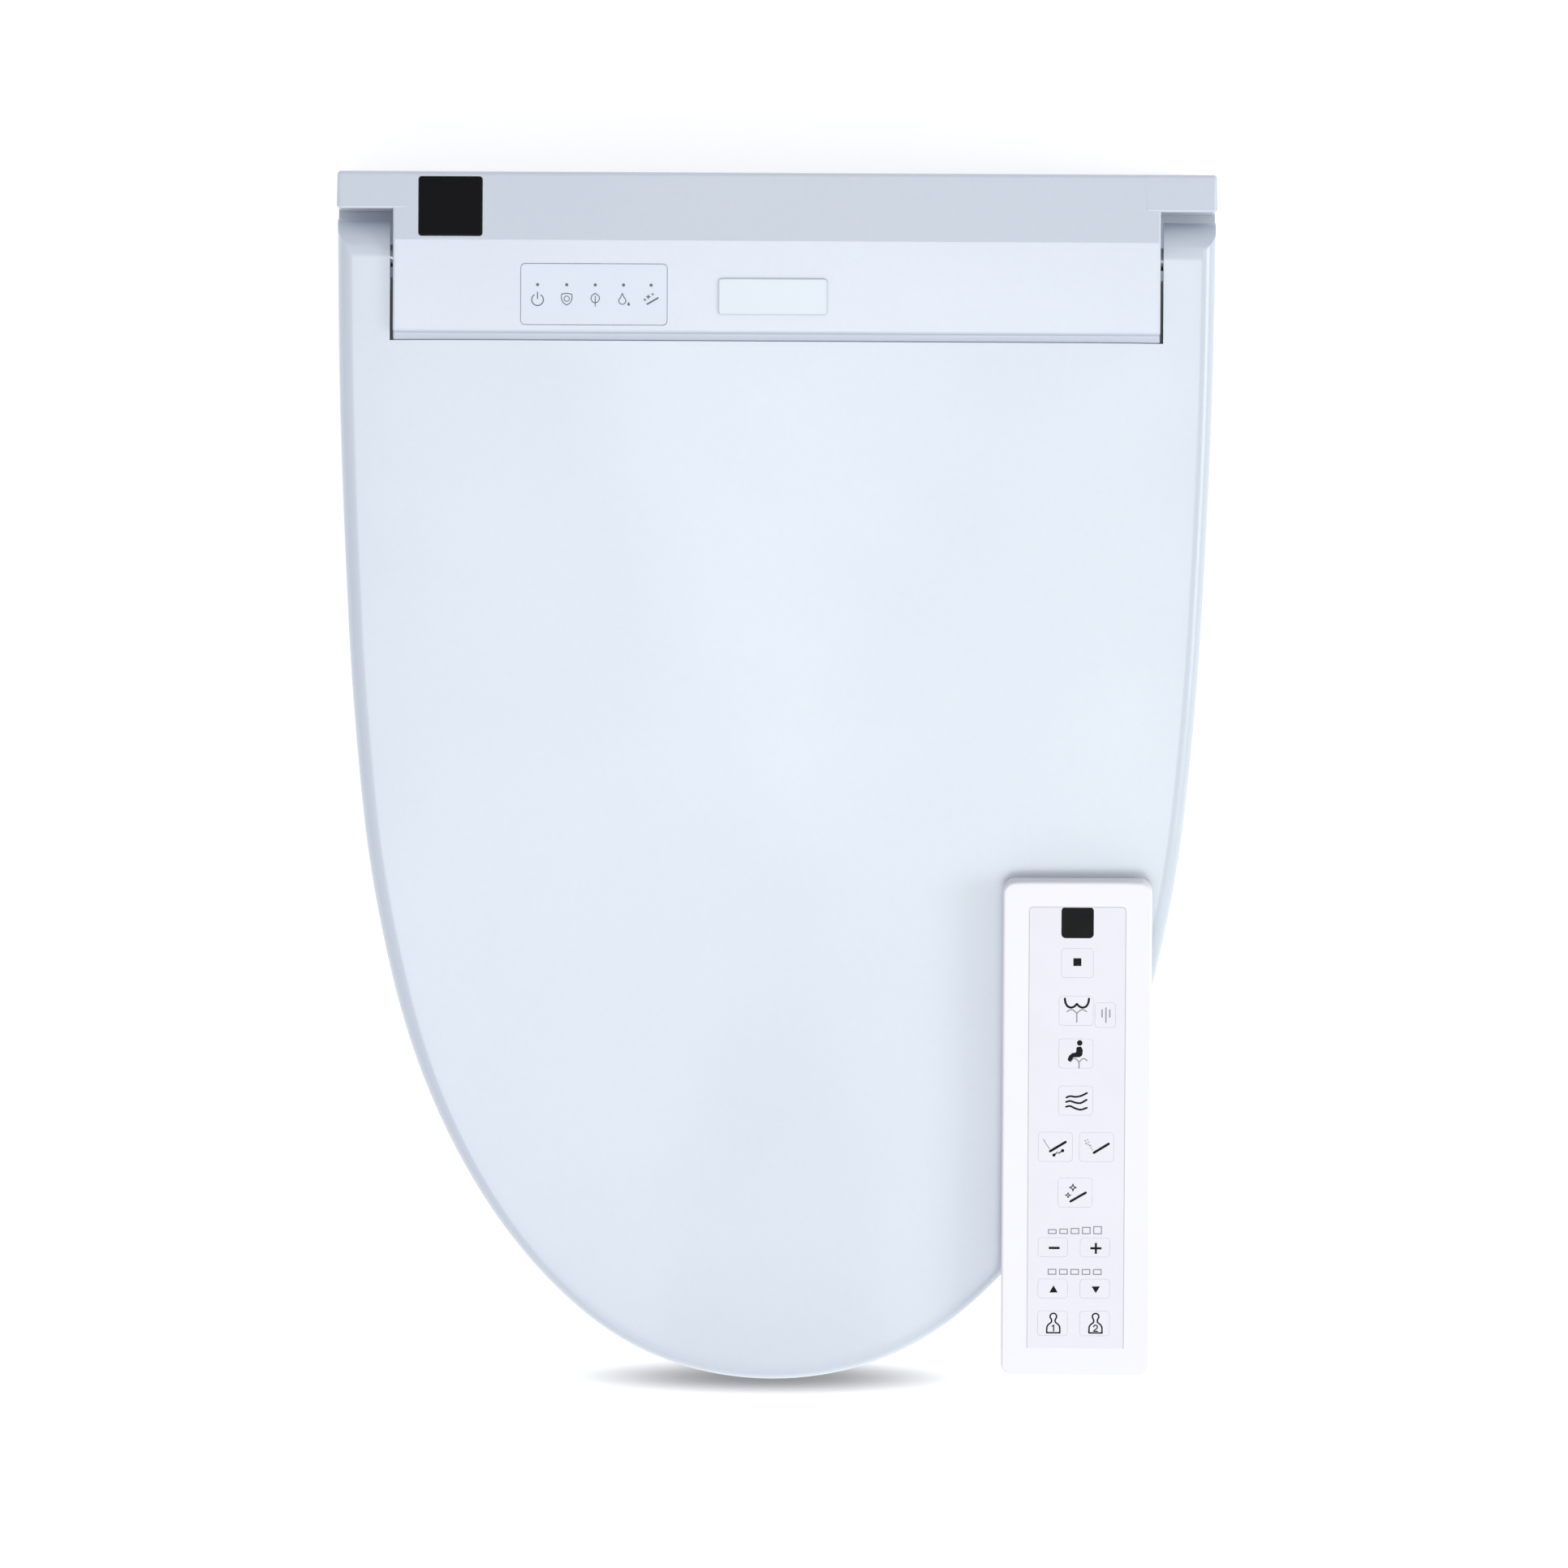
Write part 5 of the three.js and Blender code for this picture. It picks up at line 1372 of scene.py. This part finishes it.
gnt.links.new(gr.outputs["Color"], gx.inputs[6])
gnt.links.new(gboth.outputs[0], gx.inputs[7])
gnt.links.new(gx.outputs[2], gb.inputs["Base Color"])
# the floor's own glow is dimmed in the same pools of painted shade
ge = gnt.nodes.new("ShaderNodeMath")
ge.operation = "MULTIPLY"
ge.inputs[1].default_value = 0.42
gnt.links.new(gboth.outputs[0], ge.inputs[0])
gnt.links.new(ge.outputs[0], gb.inputs["Emission Strength"])
gb.inputs["Roughness"].default_value = 0.9
gb.inputs["Specular IOR Level"].default_value = 0.1
gb.inputs["Emission Color"].default_value = (1, 1, 1, 1)
ground.data.materials.append(gm)

world = bpy.data.worlds.new("studio")
world.use_nodes = True
wnt = world.node_tree
wbg = wnt.nodes["Background"]
wtc = wnt.nodes.new("ShaderNodeTexCoord")
wsep = wnt.nodes.new("ShaderNodeSeparateXYZ")
wnt.links.new(wtc.outputs["Generated"], wsep.inputs[0])
wmr = wnt.nodes.new("ShaderNodeMapRange")  # brighter in front of the seat than behind it
wmr.inputs["From Min"].default_value = -0.9
wmr.inputs["From Max"].default_value = 0.9
wmr.inputs["To Min"].default_value = 0.98
wmr.inputs["To Max"].default_value = 0.60
wnt.links.new(wsep.outputs["Y"], wmr.inputs["Value"])
wnt.links.new(wmr.outputs["Result"], wbg.inputs["Strength"])
wmx = wnt.nodes.new("ShaderNodeMapRange")
wmx.inputs["From Min"].default_value = -0.8
wmx.inputs["From Max"].default_value = 0.8
wnt.links.new(wsep.outputs["X"], wmx.inputs["Value"])
wcol = wnt.nodes.new("ShaderNodeMix")  # cooler on the left, a little greener on the right
wcol.data_type = "RGBA"
wcol.inputs[6].default_value = (0.95, 0.95, 1.03, 1)
wcol.inputs[7].default_value = (1.0, 1.03, 0.99, 1)
wnt.links.new(wmx.outputs["Result"], wcol.inputs[0])
wnt.links.new(wcol.outputs[2], wbg.inputs["Color"])
bpy.context.scene.world = world

# broad panel high in front: seen as a sheen by what tilts forwards, not by what lies flat
tall("panel_left", 0.95, (-0.52, -1.62, 4.2), (0, -0.25, 0.1), 19.5, (0.93, 0.95, 1.02), size_y=1.15)
tall("panel_right", 0.95, (0.52, -1.62, 4.2), (0, -0.25, 0.1), 20.5, (0.97, 1.02, 1.0), size_y=1.15)
tall("side_right", 1.2, (2.6, -0.5, 1.9), (0, -0.2, 0.05), 26, (0.98, 1.0, 1.0))

cam = bpy.data.cameras.new("camera")
cam.sensor_width = 36
cam.lens = 36 * 20.0 / 0.6888
cam.clip_start, cam.clip_end = 0.5, 90
camera = bpy.data.objects.new("camera", cam)
camera.location = (0.0043, -0.2101, 20.11)
camera.rotation_euler = (0, 0, math.radians(0.29))
bpy.context.scene.collection.objects.link(camera)
bpy.context.scene.camera = camera

bpy.context.scene.view_settings.view_transform = "Standard"
bpy.context.scene.view_settings.look = "None"
bpy.context.scene.view_settings.exposure = 0.0
bpy.context.scene.view_settings.gamma = 1.0
